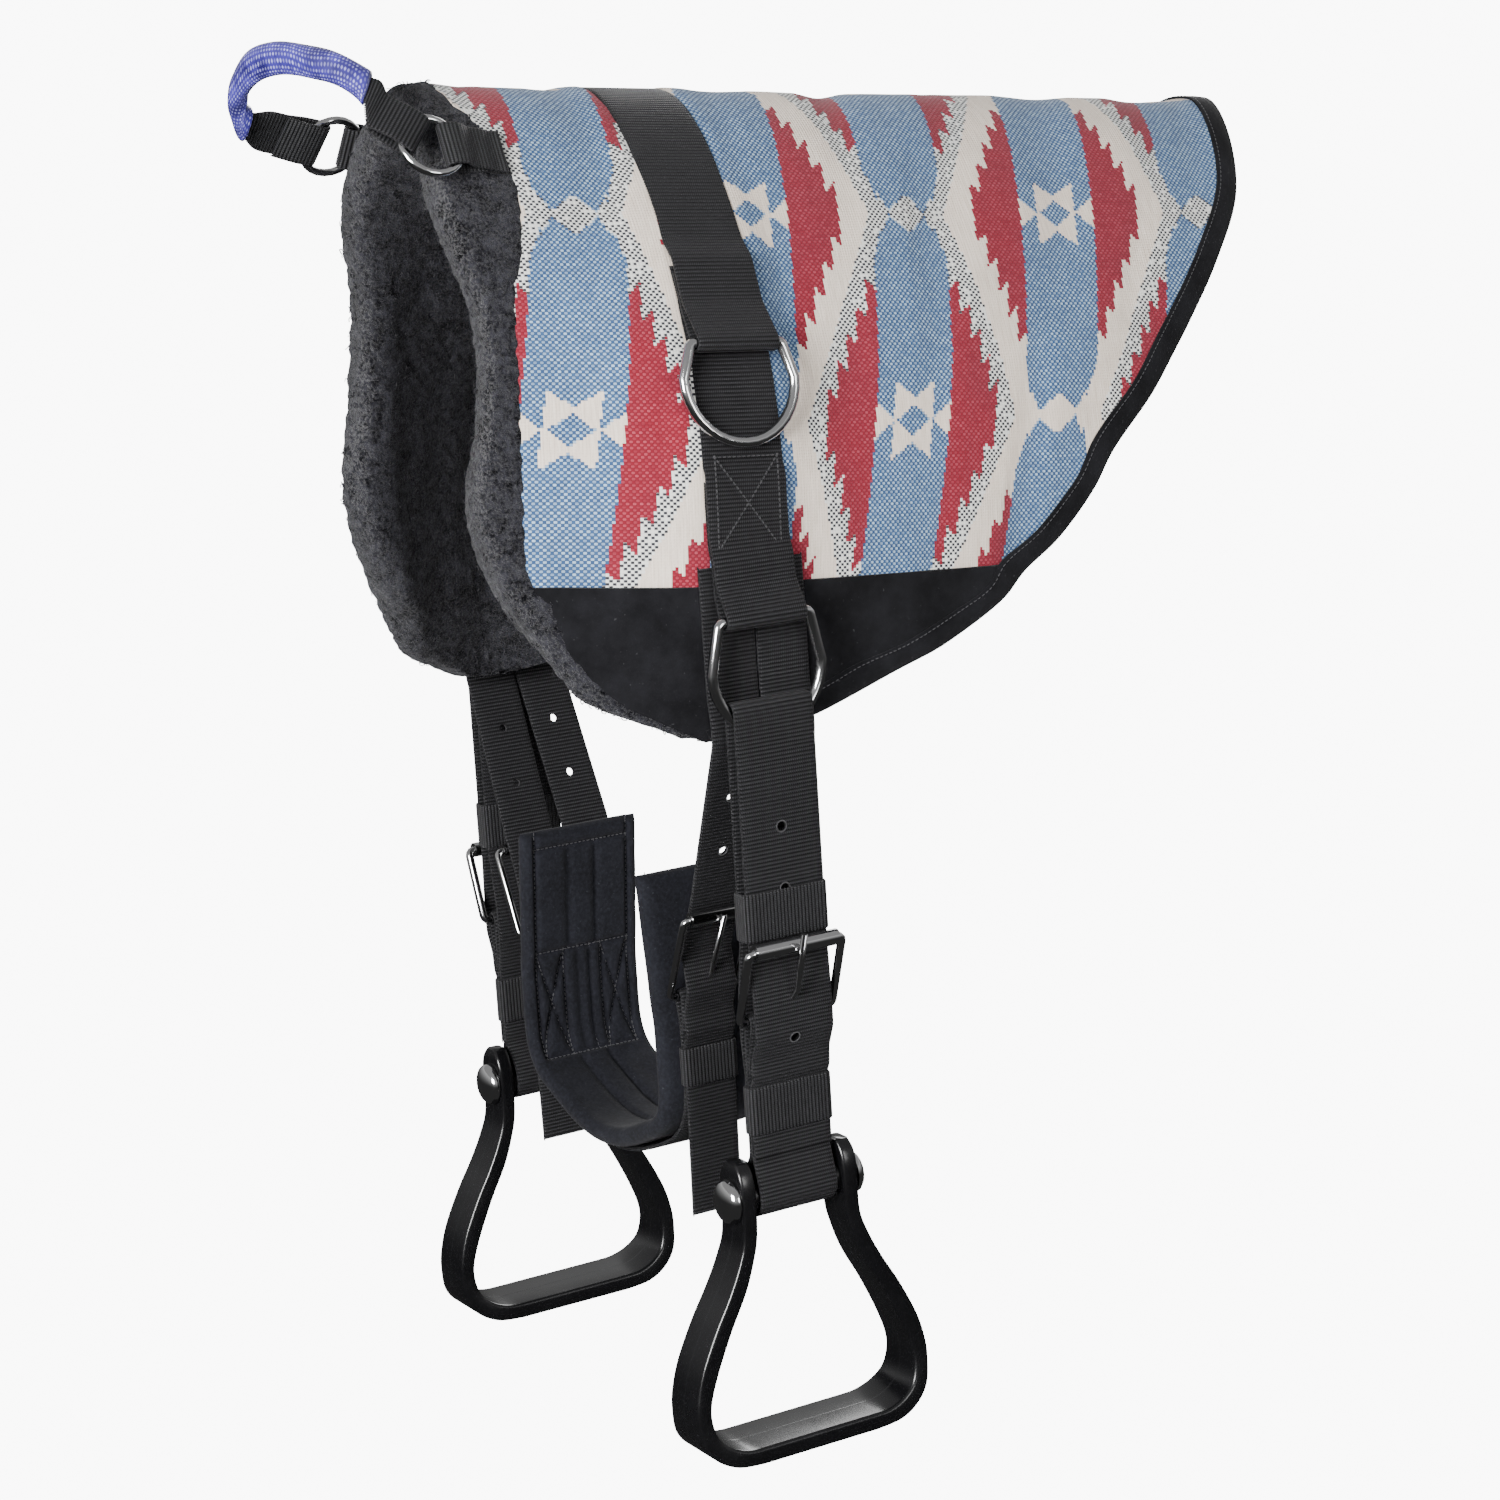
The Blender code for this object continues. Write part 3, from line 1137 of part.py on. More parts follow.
def build_handle():
    ends = {}
    for side, sign, turn in (("left", 1, HANDLE_TURN_LEFT), ("right", -1, HANDLE_TURN_RIGHT)):
        centre, forward, up, out = ring_frame(sign)
        step = 360 / HANDLE_RING_POINTS
        points = []
        for across, along in arc_points((0, 0), HANDLE_RING, 0, 360 - step, HANDLE_RING_POINTS - 1):
            points.append(centre + forward * along + up * across)
        wire("handle_ring_" + side, points, HANDLE_WIRE, NICKEL, sides=2)
        arc = sign * arc_at(HANDLE_DROP)
        tab = tab_points(arc, TAB_LOW_SHARES) + fold_points(centre, -forward, out)
        tab += tab_points(arc, TAB_HIGH_SHARES)
        stations = [(point, up * -HANDLE_HALF, up * HANDLE_HALF) for point in tab]
        band("handle_tab_" + side, stations, WEB_THICK, WEBBING)
        leave = forward * math.cos(turn) + up * math.sin(turn)
        across = up * math.cos(turn) - forward * math.sin(turn)
        seam = centre + leave * (HANDLE_RING + HANDLE_SEAM)
        start = centre + leave * (HANDLE_RING + HANDLE_SEAM_START)
        pinch = out * (HANDLE_FOLD - HANDLE_PINCH)
        web = [seam - pinch, start - out * HANDLE_FOLD] + fold_points(centre, leave, out)
        web += [start + out * HANDLE_FOLD, seam + pinch]
        ends[side] = (web, across)
    left, left_across = ends["left"]
    right, right_across = ends["right"]
    corner = ring_frame(1)[0]
    middle = [Vector((corner.x * x, corner.y - HANDLE_BOW * y, corner.z + HANDLE_ARCH * z))
              for x, y, z in HANDLE_MIDDLE_SHARES]
    free = [left[-1]] + middle + [right[-1]]
    line = [Vector(point) for point in smooth_line([tuple(point) for point in free], 3)][1:-1]
    stations = [(point, left_across) for point in left]
    count = len(line)
    rise = Vector(HANDLE_RISE).normalized()
    sleeve = []
    for index, point in enumerate(line):
        part = (index + 1) / (count + 1)
        near, end = (left_across, part) if part < 0.5 else (right_across, 1 - part)
        across = near.lerp(rise, smooth_share(end / HANDLE_TWIST_SHARE)).normalized()
        stations.append((point, across))
        if SLEEVE_SHARES[0] < part < SLEEVE_SHARES[1]:
            sleeve.append((point, across))
    stations += [(point, right_across) for point in reversed(right)]
    whole = [(point, across * -HANDLE_HALF, across * HANDLE_HALF) for point, across in stations]
    band("handle_core", whole, WEB_THICK, WEBBING)
    build_sleeve(sleeve)


def build_sleeve(stations):
    """A flattened tube round the core."""
    shape = []
    for step in range(SLEEVE_POINTS):
        angle = math.tau * (step + 0.5) / SLEEVE_POINTS
        wide = math.copysign(abs(math.cos(angle)) ** SLEEVE_FLAT_SHARE, math.cos(angle))
        shape.append((wide, math.sin(angle)))
    bm = bmesh.new()
    loops = []
    last = len(stations) - 1
    for index, (point, across) in enumerate(stations):
        before = stations[max(index - 1, 0)][0]
        after = stations[min(index + 1, last)][0]
        out = (after - before).cross(across).normalized()
        ring = []
        for scale in (0, SLEEVE_WALL):
            ring.append([bm.verts.new(point + across * wide * (SLEEVE_HALF + scale)
                                      + out * deep * (SLEEVE_HOLLOW / 2 + scale))
                         for wide, deep in shape])
        loops.append(ring)
    size = len(shape)
    for before, after in zip(loops, loops[1:]):
        for layer in (0, 1):
            for k in range(size):
                n = (k + 1) % size
                bm.faces.new((before[layer][k], before[layer][n], after[layer][n], after[layer][k]))
    for ring in (loops[0], loops[-1]):
        for k in range(size):
            n = (k + 1) % size
            bm.faces.new((ring[0][k], ring[0][n], ring[1][n], ring[1][k]))
    finish("handle_sleeve", bm, SLEEVE, True)


build_pad()
build_surcingle()
build_ring_webs()
build_dees()
build_straps()
build_stirrups()
build_girth()
build_handle()
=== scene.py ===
"""Looks of a bareback pad: woven cover, fleece lining, webbing, metal, quilted girth
and a meshed grab handle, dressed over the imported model.

Metres, +Z up. The horse faces -Y, so the left side of the pad is at +X.
"""
import json
import math

import bmesh
import bpy
import numpy as np
from bpy.props import FloatProperty, FloatVectorProperty, IntProperty, PointerProperty
from mathutils import Matrix, Vector, noise


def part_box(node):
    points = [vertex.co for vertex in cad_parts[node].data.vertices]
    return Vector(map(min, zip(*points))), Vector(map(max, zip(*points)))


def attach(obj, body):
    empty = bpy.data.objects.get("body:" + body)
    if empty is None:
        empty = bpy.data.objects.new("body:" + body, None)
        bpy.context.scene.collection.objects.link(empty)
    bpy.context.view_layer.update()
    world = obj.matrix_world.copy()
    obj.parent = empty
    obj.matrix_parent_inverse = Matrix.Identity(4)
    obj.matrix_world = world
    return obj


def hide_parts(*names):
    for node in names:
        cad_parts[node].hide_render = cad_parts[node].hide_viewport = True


bl_info = {
    "name": "Bareback Pad Looks",
    "version": (1, 0, 0),
    "blender": (4, 5, 0),
    "location": "View3D > Sidebar > Bareback Pad",
    "description": "Dresses the packed bareback pad and sets the studio",
    "category": "Object",
}

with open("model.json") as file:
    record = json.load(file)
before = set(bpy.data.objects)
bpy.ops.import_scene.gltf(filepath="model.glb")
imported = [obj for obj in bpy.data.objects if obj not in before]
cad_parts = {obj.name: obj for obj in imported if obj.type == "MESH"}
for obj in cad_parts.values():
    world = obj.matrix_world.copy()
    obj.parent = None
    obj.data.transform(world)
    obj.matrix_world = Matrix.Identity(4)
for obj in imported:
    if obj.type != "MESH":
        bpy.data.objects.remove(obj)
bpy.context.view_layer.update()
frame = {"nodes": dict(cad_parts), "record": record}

MM = 0.001
MERGE = 0.01 * MM
FLAT_ANGLE = math.radians(12)
SKEW_ANGLE = math.radians(60)
SIDES = (("left", 1), ("right", -1))
SIDE = Vector((1, 0, 0))
FORE = Vector((0, 1, 0))

# Webs
WEB_STEP = 1.5 * MM
WEB_THICK = 2.2 * MM
WIDE_WEB_THICK = 2.0 * MM
WEB_GAP = 0.3 * MM
RIM_LIFT = 1.1 * MM
RIM_RADIUS = 0.35 * MM
SELVAGE_INSET = 0.2 * MM
SURCINGLE_PASSES = 70
EASED_DROP = 90 * MM
EASED_FADE = 30 * MM
# Down from the ridge to the top and bottom of the ring web's sewn box.
BOX_DROPS = (196 * MM, 245 * MM)
BOX_HALF = 19.5 * MM

# The pad's form, as in its construction
RIDGE_TILT = math.radians(4.4)
RIDGE_BACK = 18 * MM
PAD_DROP = 348 * MM
FLAP_REACH = 143 * MM
PAD_REAR = 412 * MM
PAD_FRONT = 143 * MM
COVER_THICK = 2.0 * MM
FOAM_THICK = 12.0 * MM
FLEECE_THICK = 13.2 * MM
LINING_GAP = 0.8 * MM
PAD_THICK = COVER_THICK + FOAM_THICK + FLEECE_THICK + LINING_GAP
CLOTH_THICK = COVER_THICK - 0.1 * MM
SEAM_GAP = 0.15 * MM
STITCH_LIFT = 0.15 * MM
WELT_INSETS = (5.5 * MM, 11 * MM)
TUFT_LIMIT = 60 * MM
ROLL_DEPTH = 12 * MM
ROLL_LIMIT_SHARE = 0.6
DRAW_START = 20 * MM
DRAW_LENGTH = 130 * MM
REAR_TAPER_SHARE = 0.14
EDGE_TAPER = 60 * MM
EDGE_THIN_SHARE = 0.5
SEAM_DROP = 264 * MM
BINDING_WIDTH = 14 * MM
BINDING_THICK = 1.4 * MM
BINDING_LIFT = 0.9 * MM
SPREAD_LIMIT_SHARE = 4.0
NUDGE = 1.0 * MM
PUCKER_PITCH = 13 * MM
PUCKER_DEPTH = 1.6 * MM
PUCKER_SINK = 0.8 * MM
SOFT_DEPTH = 2.4 * MM
SMALL_DEPTH = 0.8 * MM
FOLD_DEPTH = 4.5 * MM
REAR_FADE = 30 * MM
FRONT_FADE = 24 * MM
# Near the surcingle the hollows fade, and under it the cover is pressed in.
WEB_SHADOW = 27 * MM
WEB_SHADOW_FADE = 20 * MM
PRESSED_DEPTH = 1.7 * MM
PRESSED_HALF = 30 * MM
PRESSED_FADE = 5 * MM
PRESSED_ARC = 95 * MM
PRESSED_ARC_FADE = 35 * MM
SUEDE_SINK = 0.5 * MM

# Holes of the straps and billets
LEVEL_REACH = 1.6 * MM
STRAP_TOP_Z = -300.635 * MM
STRAP_HOLE = 3.0 * MM
STRAP_PUNCH_DEPTH = 7 * MM
STRAP_HOLE_DROPS = (65.4 * MM, 100.4 * MM, 185.4 * MM)
PAD_EDGE_Z = -318.974 * MM
BILLET_HOLE = 2.6 * MM
BILLET_PUNCH_DEPTH = 8 * MM
BILLET_HOLE_DROPS = (33 * MM, 65 * MM)

# Girth
GIRTH_HALF = 39 * MM
GIRTH_Y = -4 * MM
GIRTH_PAD_THICK = 12 * MM
GIRTH_SEAM_DEPTH = 0.235 * GIRTH_PAD_THICK
GIRTH_STEP = 1.25 * MM
QUILT_SEAM = 1.3 * MM
QUILT_SWELL = 5 * MM
QUILT_RIPPLE = 0.5 * MM
SEAM_STEP = 4 * MM
GIRTH_END = 5 * MM
GIRTH_REACH = 75 * MM
GIRTH_DEPTH = 161.5 * MM
GIRTH_TOP_Z = -403.974 * MM
# Inner face of the girth pad from the top of a side to the middle.
GIRTH_PATH_SHARES = (
    (0.853, 0.000), (0.867, 0.043), (0.893, 0.149), (0.920, 0.260), (0.947, 0.359),
    (0.967, 0.446), (0.993, 0.514), (1.000, 0.582), (1.000, 0.669), (1.000, 0.755),
    (0.980, 0.805), (0.933, 0.848), (0.840, 0.885), (0.720, 0.910), (0.533, 0.947),
    (0.320, 0.981), (0.107, 1.000),
)

# Grab handle
HANDLE_RING = 17 * MM
HANDLE_WIRE = 2.25 * MM
HANDLE_HALF = 12.5 * MM
HANDLE_DROP = 37.3 * MM
HANDLE_ALONG = -146 * MM
HANDLE_LIFT = 9.5 * MM
HANDLE_FOLD = HANDLE_WIRE + 1.3 * MM
HANDLE_REACH = 6.4 * MM
HANDLE_TURN_LEFT = math.radians(38)
HANDLE_TURN_RIGHT = math.radians(12)
HANDLE_SEAM = 16 * MM
HANDLE_SEAM_START = 3 * MM
HANDLE_PINCH = 2.2 * MM
HANDLE_TWIST_SHARE = 0.45
SLEEVE_HALF = 9.0 * MM
SLEEVE_DEEP = 5.2 * MM
SLEEVE_CORE_HALF = 6.5 * MM
SLEEVE_SHARES = (0.12, 0.9)
TAB_LENGTH = 35 * MM
TAB_LIFT = 1.3 * MM
TAB_LOW_SHARES = (
    (1.000, 0.032), (0.917, 0.032), (0.833, 0.032), (0.750, 0.032),
    (0.646, 0.284), (0.417, 0.253), (0.208, 0.263),
)
TAB_HIGH_SHARES = (
    (0.208, 1.200), (0.417, 0.695), (0.646, 0.547), (0.792, 0.295), (0.958, 0.284),
)
HANDLE_BOW = 61 * MM
HANDLE_ARCH = 50 * MM
HANDLE_MIDDLE_SHARES = (
    (0.744, 0.424, 0.618), (0.475, 0.555, 0.838), (0.190, 0.686, 0.938), (-0.127, 0.834, 0.998),
    (-0.443, 0.949, 0.918), (-0.680, 0.998, 0.658), (-0.838, 0.900, 0.338),
)
HANDLE_RISE = (0, -0.2, 0.98)

# Stirrups: outer and inner half width, outer and inner level, depth.
STIRRUP_DROP = 149 * MM
STIRRUP_MIDDLE = 144.966 * MM
BOLT_Z = -576.035 * MM
STIRRUP_SHARES = (
    (0.248, 0.191, 0.148, 0.148, 0.081), (0.255, 0.191, 0.107, 0.107, 0.141),
    (0.255, 0.191, 0.034, 0.034, 0.174), (0.258, 0.195, -0.128, -0.121, 0.174),
    (0.289, 0.218, -0.228, -0.215, 0.181), (0.342, 0.262, -0.336, -0.329, 0.188),
    (0.409, 0.336, -0.450, -0.463, 0.195), (0.477, 0.403, -0.591, -0.604, 0.201),
    (0.507, 0.443, -0.698, -0.711, 0.208), (0.513, 0.450, -0.779, -0.785, 0.215),
    (0.497, 0.430, -0.879, -0.859, 0.235), (0.443, 0.376, -0.946, -0.906, 0.255),
    (0.362, 0.309, -0.987, -0.930, 0.268), (0.255, 0.242, -1.000, -0.933, 0.268),
)

# Studio
LAMP_TARGET = Vector((0, 0.05, -0.25))
SENSOR_WIDTH = 36
CLIP_START = 0.05

# Half section of the cover: drop below the ridge, reach from the centre.
SECTION_SHARES = (
    (0.000, 0.000), (0.009, 0.140), (0.052, 0.308), (0.118, 0.462),
    (0.210, 0.622), (0.299, 0.741), (0.356, 0.804), (0.431, 0.881),
    (0.546, 0.951), (0.661, 0.986), (0.790, 1.000), (1.000, 1.000),
)
# How far each level is drawn in at the front: drop, share of the reach.
NARROWING_SHARES = (
    (0.000, 0.070), (0.052, 0.090), (0.118, 0.130), (0.210, 0.190),
    (0.299, 0.245), (0.356, 0.280), (0.431, 0.325), (0.546, 0.368),
    (0.661, 0.390), (0.790, 0.406), (1.000, 0.420),
)
REAR_SHARES = (
    (0.000, 1.000), (0.043, 0.985), (0.158, 0.947), (0.261, 0.879),
    (0.351, 0.811), (0.420, 0.755), (0.491, 0.701), (0.575, 0.626),
    (0.644, 0.583), (0.716, 0.522), (0.767, 0.461), (0.816, 0.417),
    (0.876, 0.323), (0.911, 0.243), (0.971, 0.102), (1.000, -0.024),
)
FRONT_SHARES = (
    (0.000, -0.965), (0.141, -1.000), (0.239, -0.972), (0.333, -0.916),
    (0.428, -0.909), (0.526, -0.923), (0.624, -0.951), (0.718, -0.916),
    (0.799, -0.832), (0.862, -0.734), (0.934, -0.615), (0.957, -0.510),
    (1.000, -0.231),
)
COVER_FRONT_SHARES = (
    (0.000, -0.846), (0.023, -0.846), (0.086, -0.741), (0.158, -0.699),
    (0.259, -0.734), (0.345, -0.783), (0.661, -0.783), (0.750, -0.762),
    (0.790, -0.692), (0.862, -0.629), (0.934, -0.490), (0.957, -0.392),
    (1.000, -0.189),
)

ALONG = Vector((0, math.cos(RIDGE_TILT), -math.sin(RIDGE_TILT)))
DOWN = Vector((0, -math.sin(RIDGE_TILT), -math.cos(RIDGE_TILT)))
RIDGE_TOP = Vector((0, RIDGE_BACK, PAD_THICK))


# The pad's surface

def smooth_line(points, steps):
    """A smooth line through all the points, as tuples."""
    line = []
    last = len(points) - 1
    for index in range(last):
        before, here = points[max(index - 1, 0)], points[index]
        there, after = points[index + 1], points[min(index + 2, last)]
        for step in range(steps):
            t = step / steps
            line.append(tuple(
                0.5 * (2 * b + (c - a) * t + (2 * a - 5 * b + 4 * c - d) * t * t
                       + (3 * b - a - 3 * c + d) * t ** 3)
                for a, b, c, d in zip(before, here, there, after)))
    line.append(tuple(points[-1]))
    return line


def smooth_share(value):
    value = min(max(value, 0.0), 1.0)
    return value * value * (3 - 2 * value)


def smooth_table(shares, steps=8):
    """A table of shares with its corners rounded off."""
    line = smooth_line(shares, steps)
    return [point[0] for point in line], [point[1] for point in line]


def build_section():
    """Arc length, reach and drop of the cover's section over both flaps."""
    half = [(reach * FLAP_REACH, drop * PAD_DROP) for drop, reach in SECTION_SHARES]
    line = smooth_line([(-x, h) for x, h in reversed(half[1:])] + half, 8)
    arc = [0.0]
    for before, here in zip(line, line[1:]):
        arc.append(arc[-1] + math.hypot(here[0] - before[0], here[1] - before[1]))
    middle = arc[-1] / 2
    return [a - middle for a in arc], [p[0] for p in line], [p[1] for p in line]


ARCS, REACHES, DROPS = build_section()
FLAP_ARC = ARCS[-1]
REAR_LINE = smooth_table(REAR_SHARES)
FRONT_LINE = smooth_table(FRONT_SHARES)
COVER_FRONT_LINE = smooth_table(COVER_FRONT_SHARES)
NARROWING_LINE = smooth_table(NARROWING_SHARES)


def arc_at(drop):
    """How far round the cover a drop below the ridge lies."""
    half = len(ARCS) // 2
    return float(np.interp(drop, DROPS[half:], ARCS[half:]))


SEAM_ARC = arc_at(SEAM_DROP)


def surface(arc, along):
    """A point of the cover's outer face."""
    reach = float(np.interp(arc, ARCS, REACHES))
    drop = float(np.interp(arc, ARCS, DROPS))
    drawn = float(np.interp(drop / PAD_DROP, *NARROWING_LINE))
    drawn *= smooth_share((-along - DRAW_START) / DRAW_LENGTH)
    tapered = REAR_TAPER_SHARE * max(along, 0.0) / PAD_REAR
    return RIDGE_TOP + SIDE * reach * (1 - drawn) * (1 - tapered) + ALONG * along + DOWN * drop


def surface_out(arc, along):
    """The direction straight out of the cover."""
    low, high = max(arc - NUDGE, -FLAP_ARC), min(arc + NUDGE, FLAP_ARC)
    across = surface(high, along) - surface(low, along)
    length = surface(arc, along + NUDGE) - surface(arc, along - NUDGE)
    return across.cross(length).normalized()


def pad_point(arc, along, lift):
    return surface(arc, along) + surface_out(arc, along) * lift


def edges_at(arc):
    """Front of the fleece, front of the cover and rear edge on a row."""
    share = float(np.interp(arc, ARCS, DROPS)) / PAD_DROP
    fleece = float(np.interp(share, *FRONT_LINE)) * PAD_FRONT
    front = float(np.interp(share, *COVER_FRONT_LINE)) * PAD_FRONT
    rear = float(np.interp(share, *REAR_LINE)) * PAD_REAR
    return fleece, front, rear


def edge_share(arc, part):
    """How much the padding thins towards the rear and lower edges."""
    rear = 1 - (1 - EDGE_THIN_SHARE) * smooth_share((part - 0.86) / 0.14)
    room = smooth_share((FLAP_ARC - abs(arc)) / EDGE_TAPER)
    return rear * (EDGE_THIN_SHARE + (1 - EDGE_THIN_SHARE) * room)


# Mesh making

def linked(name, data):
    """An object of the scene that holds the data."""
    thing = bpy.data.objects.new(name, data)
    bpy.context.scene.collection.objects.link(thing)
    return thing


def new_object(name, mesh, material, body, slot, *nodes, smooth=180):
    """Finish a mesh into a piece that rides on a body and stands for nodes."""
    mesh.name = name
    mesh.materials.clear()
    mesh.materials.append(material)
    mesh.shade_smooth()
    if smooth < 180:
        mesh.set_sharp_from_angle(angle=math.radians(smooth))
    piece = linked(name, mesh)
    if nodes:
        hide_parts(*nodes)
    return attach(piece, body)


def node_object(node, mesh, material, smooth):
    """The piece that stands for one CAD node, on the node's own body."""
    return new_object(node + "_look", mesh, material, body_of(node), slot_of(node), node, smooth=smooth)


def mesh_from_bmesh(bm, name):
    mesh = bpy.data.meshes.new(name)
    bm.to_mesh(mesh)
    bm.free()
    return mesh


def grid_mesh(name, rows, uv_rows, closed=False, capped=False):
    """A mesh through rows of points, each with its place on the cloth."""
    height, width = len(rows), len(rows[0])
    points = [tuple(point) for row in rows for point in row]
    span = width if closed else width - 1
    faces = []
    loops = []
    for i in range(height - 1):
        for j in range(span):
            n = (j + 1) % width
            faces.append((i * width + j, i * width + n, (i + 1) * width + n, (i + 1) * width + j))
            loops += [uv_rows[i][j], uv_rows[i][j + 1], uv_rows[i + 1][j + 1], uv_rows[i + 1][j]]
    if capped:
        faces.append(tuple(reversed(range(width))))
        loops += [uv_rows[0][j] for j in reversed(range(width))]
        faces.append(tuple((height - 1) * width + j for j in range(width)))
        loops += [uv_rows[-1][j] for j in range(width)]
    mesh = bpy.data.meshes.new(name)
    mesh.from_pydata(points, [], faces)
    layer = mesh.uv_layers.new(name="cloth")
    layer.data.foreach_set("uv", np.array(loops, dtype=np.float32).ravel())
    mesh.validate()
    return mesh


def outward(mesh, merged=False):
    """Turn the faces of a closed mesh outwards."""
    bm = bmesh.new()
    bm.from_mesh(mesh)
    if merged:
        bmesh.ops.remove_doubles(bm, verts=bm.verts[:], dist=MERGE)
    bmesh.ops.recalc_face_normals(bm, faces=bm.faces[:])
    bm.to_mesh(mesh)
    bm.free()
    return mesh


def tube_mesh(name, rings, places):
    """A closed tube through rings of points, with capped ends."""
    return outward(grid_mesh(name, rings, places, closed=True, capped=True))


def applied(piece):
    """The piece with its modifiers applied."""
    graph = bpy.context.evaluated_depsgraph_get()
    mesh = bpy.data.meshes.new_from_object(piece.evaluated_get(graph))
    piece.modifiers.clear()
    old = piece.data
    piece.data = mesh
    mesh.name = piece.name
    bpy.data.meshes.remove(old)
    return piece


def subdivided(piece):
    """Smooth the piece by one level of subdivision."""
    finer = piece.modifiers.new("finer", "SUBSURF")
    finer.levels = 1
    finer.render_levels = 1
    return piece


def with_thickness(mesh, thick):
    """Give an open sheet a wall on its inner side."""
    piece = linked(mesh.name, mesh)
    wall = piece.modifiers.new("wall", "SOLIDIFY")
    wall.thickness = thick
    wall.offset = -1
    wall.use_even_offset = True
    bpy.context.view_layer.update()
    applied(piece)
    thick_mesh = piece.data
    bpy.data.objects.remove(piece)
    return thick_mesh


def merged_copy(node):
    """A CAD node's mesh with its loose triangles joined up."""
    bm = bmesh.new()
    bm.from_mesh(frame["nodes"][node].data)
    bmesh.ops.remove_doubles(bm, verts=bm.verts[:], dist=MERGE)
    return bm


def body_of(node):
    for body, members in frame["record"]["behaviour"]["bodies"].items():
        if node in members:
            return body
    raise ValueError("no body holds " + node)


def slot_of(node):
    for entry in frame["record"]["subparts"]:
        if entry["node"] == node:
            return entry["material_slot"]
    raise ValueError("no slot for " + node)


def dressed_copy(node, material):
    """A smooth copy of a rigid node that takes its place."""
    bm = merged_copy(node)
    bmesh.ops.join_triangles(bm, faces=bm.faces[:], angle_face_threshold=FLAT_ANGLE,
                             angle_shape_threshold=SKEW_ANGLE)
    return node_object(node, mesh_from_bmesh(bm, node + "_look"), material, 50)


# Webbing

def web_edges(node, across):
    """Middle of both edges of a CAD web, station by station."""
    bm = merged_copy(node)
    lines = []
    for sign in (-1, 1):
        chosen = {face for face in bm.faces if face.normal.dot(across) * sign > 0.8}
        groups = []
        while chosen:
            stack = [chosen.pop()]
            group = set(stack)
            while stack:
                for edge in stack.pop().edges:
                    for face in edge.link_faces:
                        if face in chosen:
                            chosen.discard(face)
                            group.add(face)
                            stack.append(face)
            groups.append(group)
        group = max(groups, key=lambda faces: sum(face.calc_area() for face in faces))
        rim = [edge for face in group for edge in face.edges
               if sum(other in group for other in edge.link_faces) == 1]
        links = {}
        for edge in rim:
            for corner in edge.verts:
                links.setdefault(corner, []).append(edge.other_vert(corner))
        start = next(iter(links))
        loop = [start]
        before = None
        here = start
        while True:
            there = [corner for corner in links[here] if corner is not before][0]
            if there is start:
                break
            loop.append(there)
            before, here = here, there
        points = [corner.co.copy() for corner in loop]
        lines.append(middle_of_strip(points))
    bm.free()
    low, high = lines
    if (low[0] - high[0]).length > (low[0] - high[-1]).length:
        high.reverse()
    if len(low) != len(high):
        high = [min(high, key=lambda point: (point - other).length) for other in low]
    return list(zip(low, high))


def middle_of_strip(points):
    """The middle line of a thin closed outline."""
    count = len(points)
    half = count // 2
    best = None
    for start in range(half):
        total = 0.0
        for k in range(half):
            total += (points[(start + k) % count] - points[start - 1 - k]).length
        if best is None or total < best[0]:
            best = (total, start)
    start = best[1]
    return [(points[(start + k) % count] + points[start - 1 - k]) / 2 for k in range(half)]


def resampled(stations, step):
    """Stations at an even step along the web, with the corners eased."""
    lengths = [0.0]
    for before, here in zip(stations, stations[1:]):
        gone = ((here[0] + here[1]) - (before[0] + before[1])).length / 2
        lengths.append(lengths[-1] + gone)
    count = max(int(lengths[-1] / step), 2)
    flat = np.array([[*low, *high] for low, high in stations])
    at = np.linspace(0, lengths[-1], count + 1)
    even = np.stack([np.interp(at, lengths, flat[:, k]) for k in range(6)], axis=1)
    for _ in range(2):
        even[1:-1] = even[1:-1] * 0.5 + (even[:-2] + even[2:]) * 0.25
    return [(Vector(row[:3]), Vector(row[3:])) for row in even], at


def web_rings(stations, at, thick, closed=False):
    """Rounded rings and cloth places of a web."""
    rings = []
    places = []
    count = len(stations)
    shape = [(-0.5, -0.22), (-0.5, 0.22), (-0.484, 0.42), (-0.462, 0.5), (0.462, 0.5), (0.484, 0.42),
             (0.5, 0.22), (0.5, -0.22), (0.484, -0.42), (0.462, -0.5), (-0.462, -0.5), (-0.484, -0.42)]
    inner = (-0.3, -0.1, 0.1, 0.3)
    shape[4:4] = [(x, 0.5) for x in inner]
    shape[14:14] = [(-x, -0.5) for x in inner]
    for index, (low, high) in enumerate(stations):
        if closed:
            before, after = stations[index - 1], stations[(index + 1) % count]
        else:
            before, after = stations[max(index - 1, 0)], stations[min(index + 1, count - 1)]
        travel = (after[0] + after[1] - before[0] - before[1]).normalized()
        across = high - low
        normal = travel.cross(across).normalized()
        middle = (low + high) / 2
        rings.append([middle + across * x + normal * y * thick for x, y in shape])
        row = [(at[index], x * across.length) for x, y in shape]
        places.append(row + row[:1])
    return rings, places


def eased(even, passes):
    """The stations with their facets rounded near the top of the web."""
    top = max(point.z for pair in even for point in pair)
    for _ in range(passes):
        inner = []
        for before, here, after in zip(even, even[1:], even[2:]):
            inner.append(tuple(point + (one + other - 2 * point) * 0.25
                               * smooth_share((point.z - top + EASED_DROP) / EASED_FADE)
                               for one, point, other in zip(before, here, after)))
        even = [even[0]] + inner + [even[-1]]
    return even


def webbing(node, stations, thick, material, passes=0):
    """A woven web through stations of a low and a high edge point."""
    even, at = resampled(stations, WEB_STEP)
    even = eased(even, passes)
    mesh = tube_mesh(node + "_look", *web_rings(even, at, thick))
    return node_object(node, mesh, material, 60), even


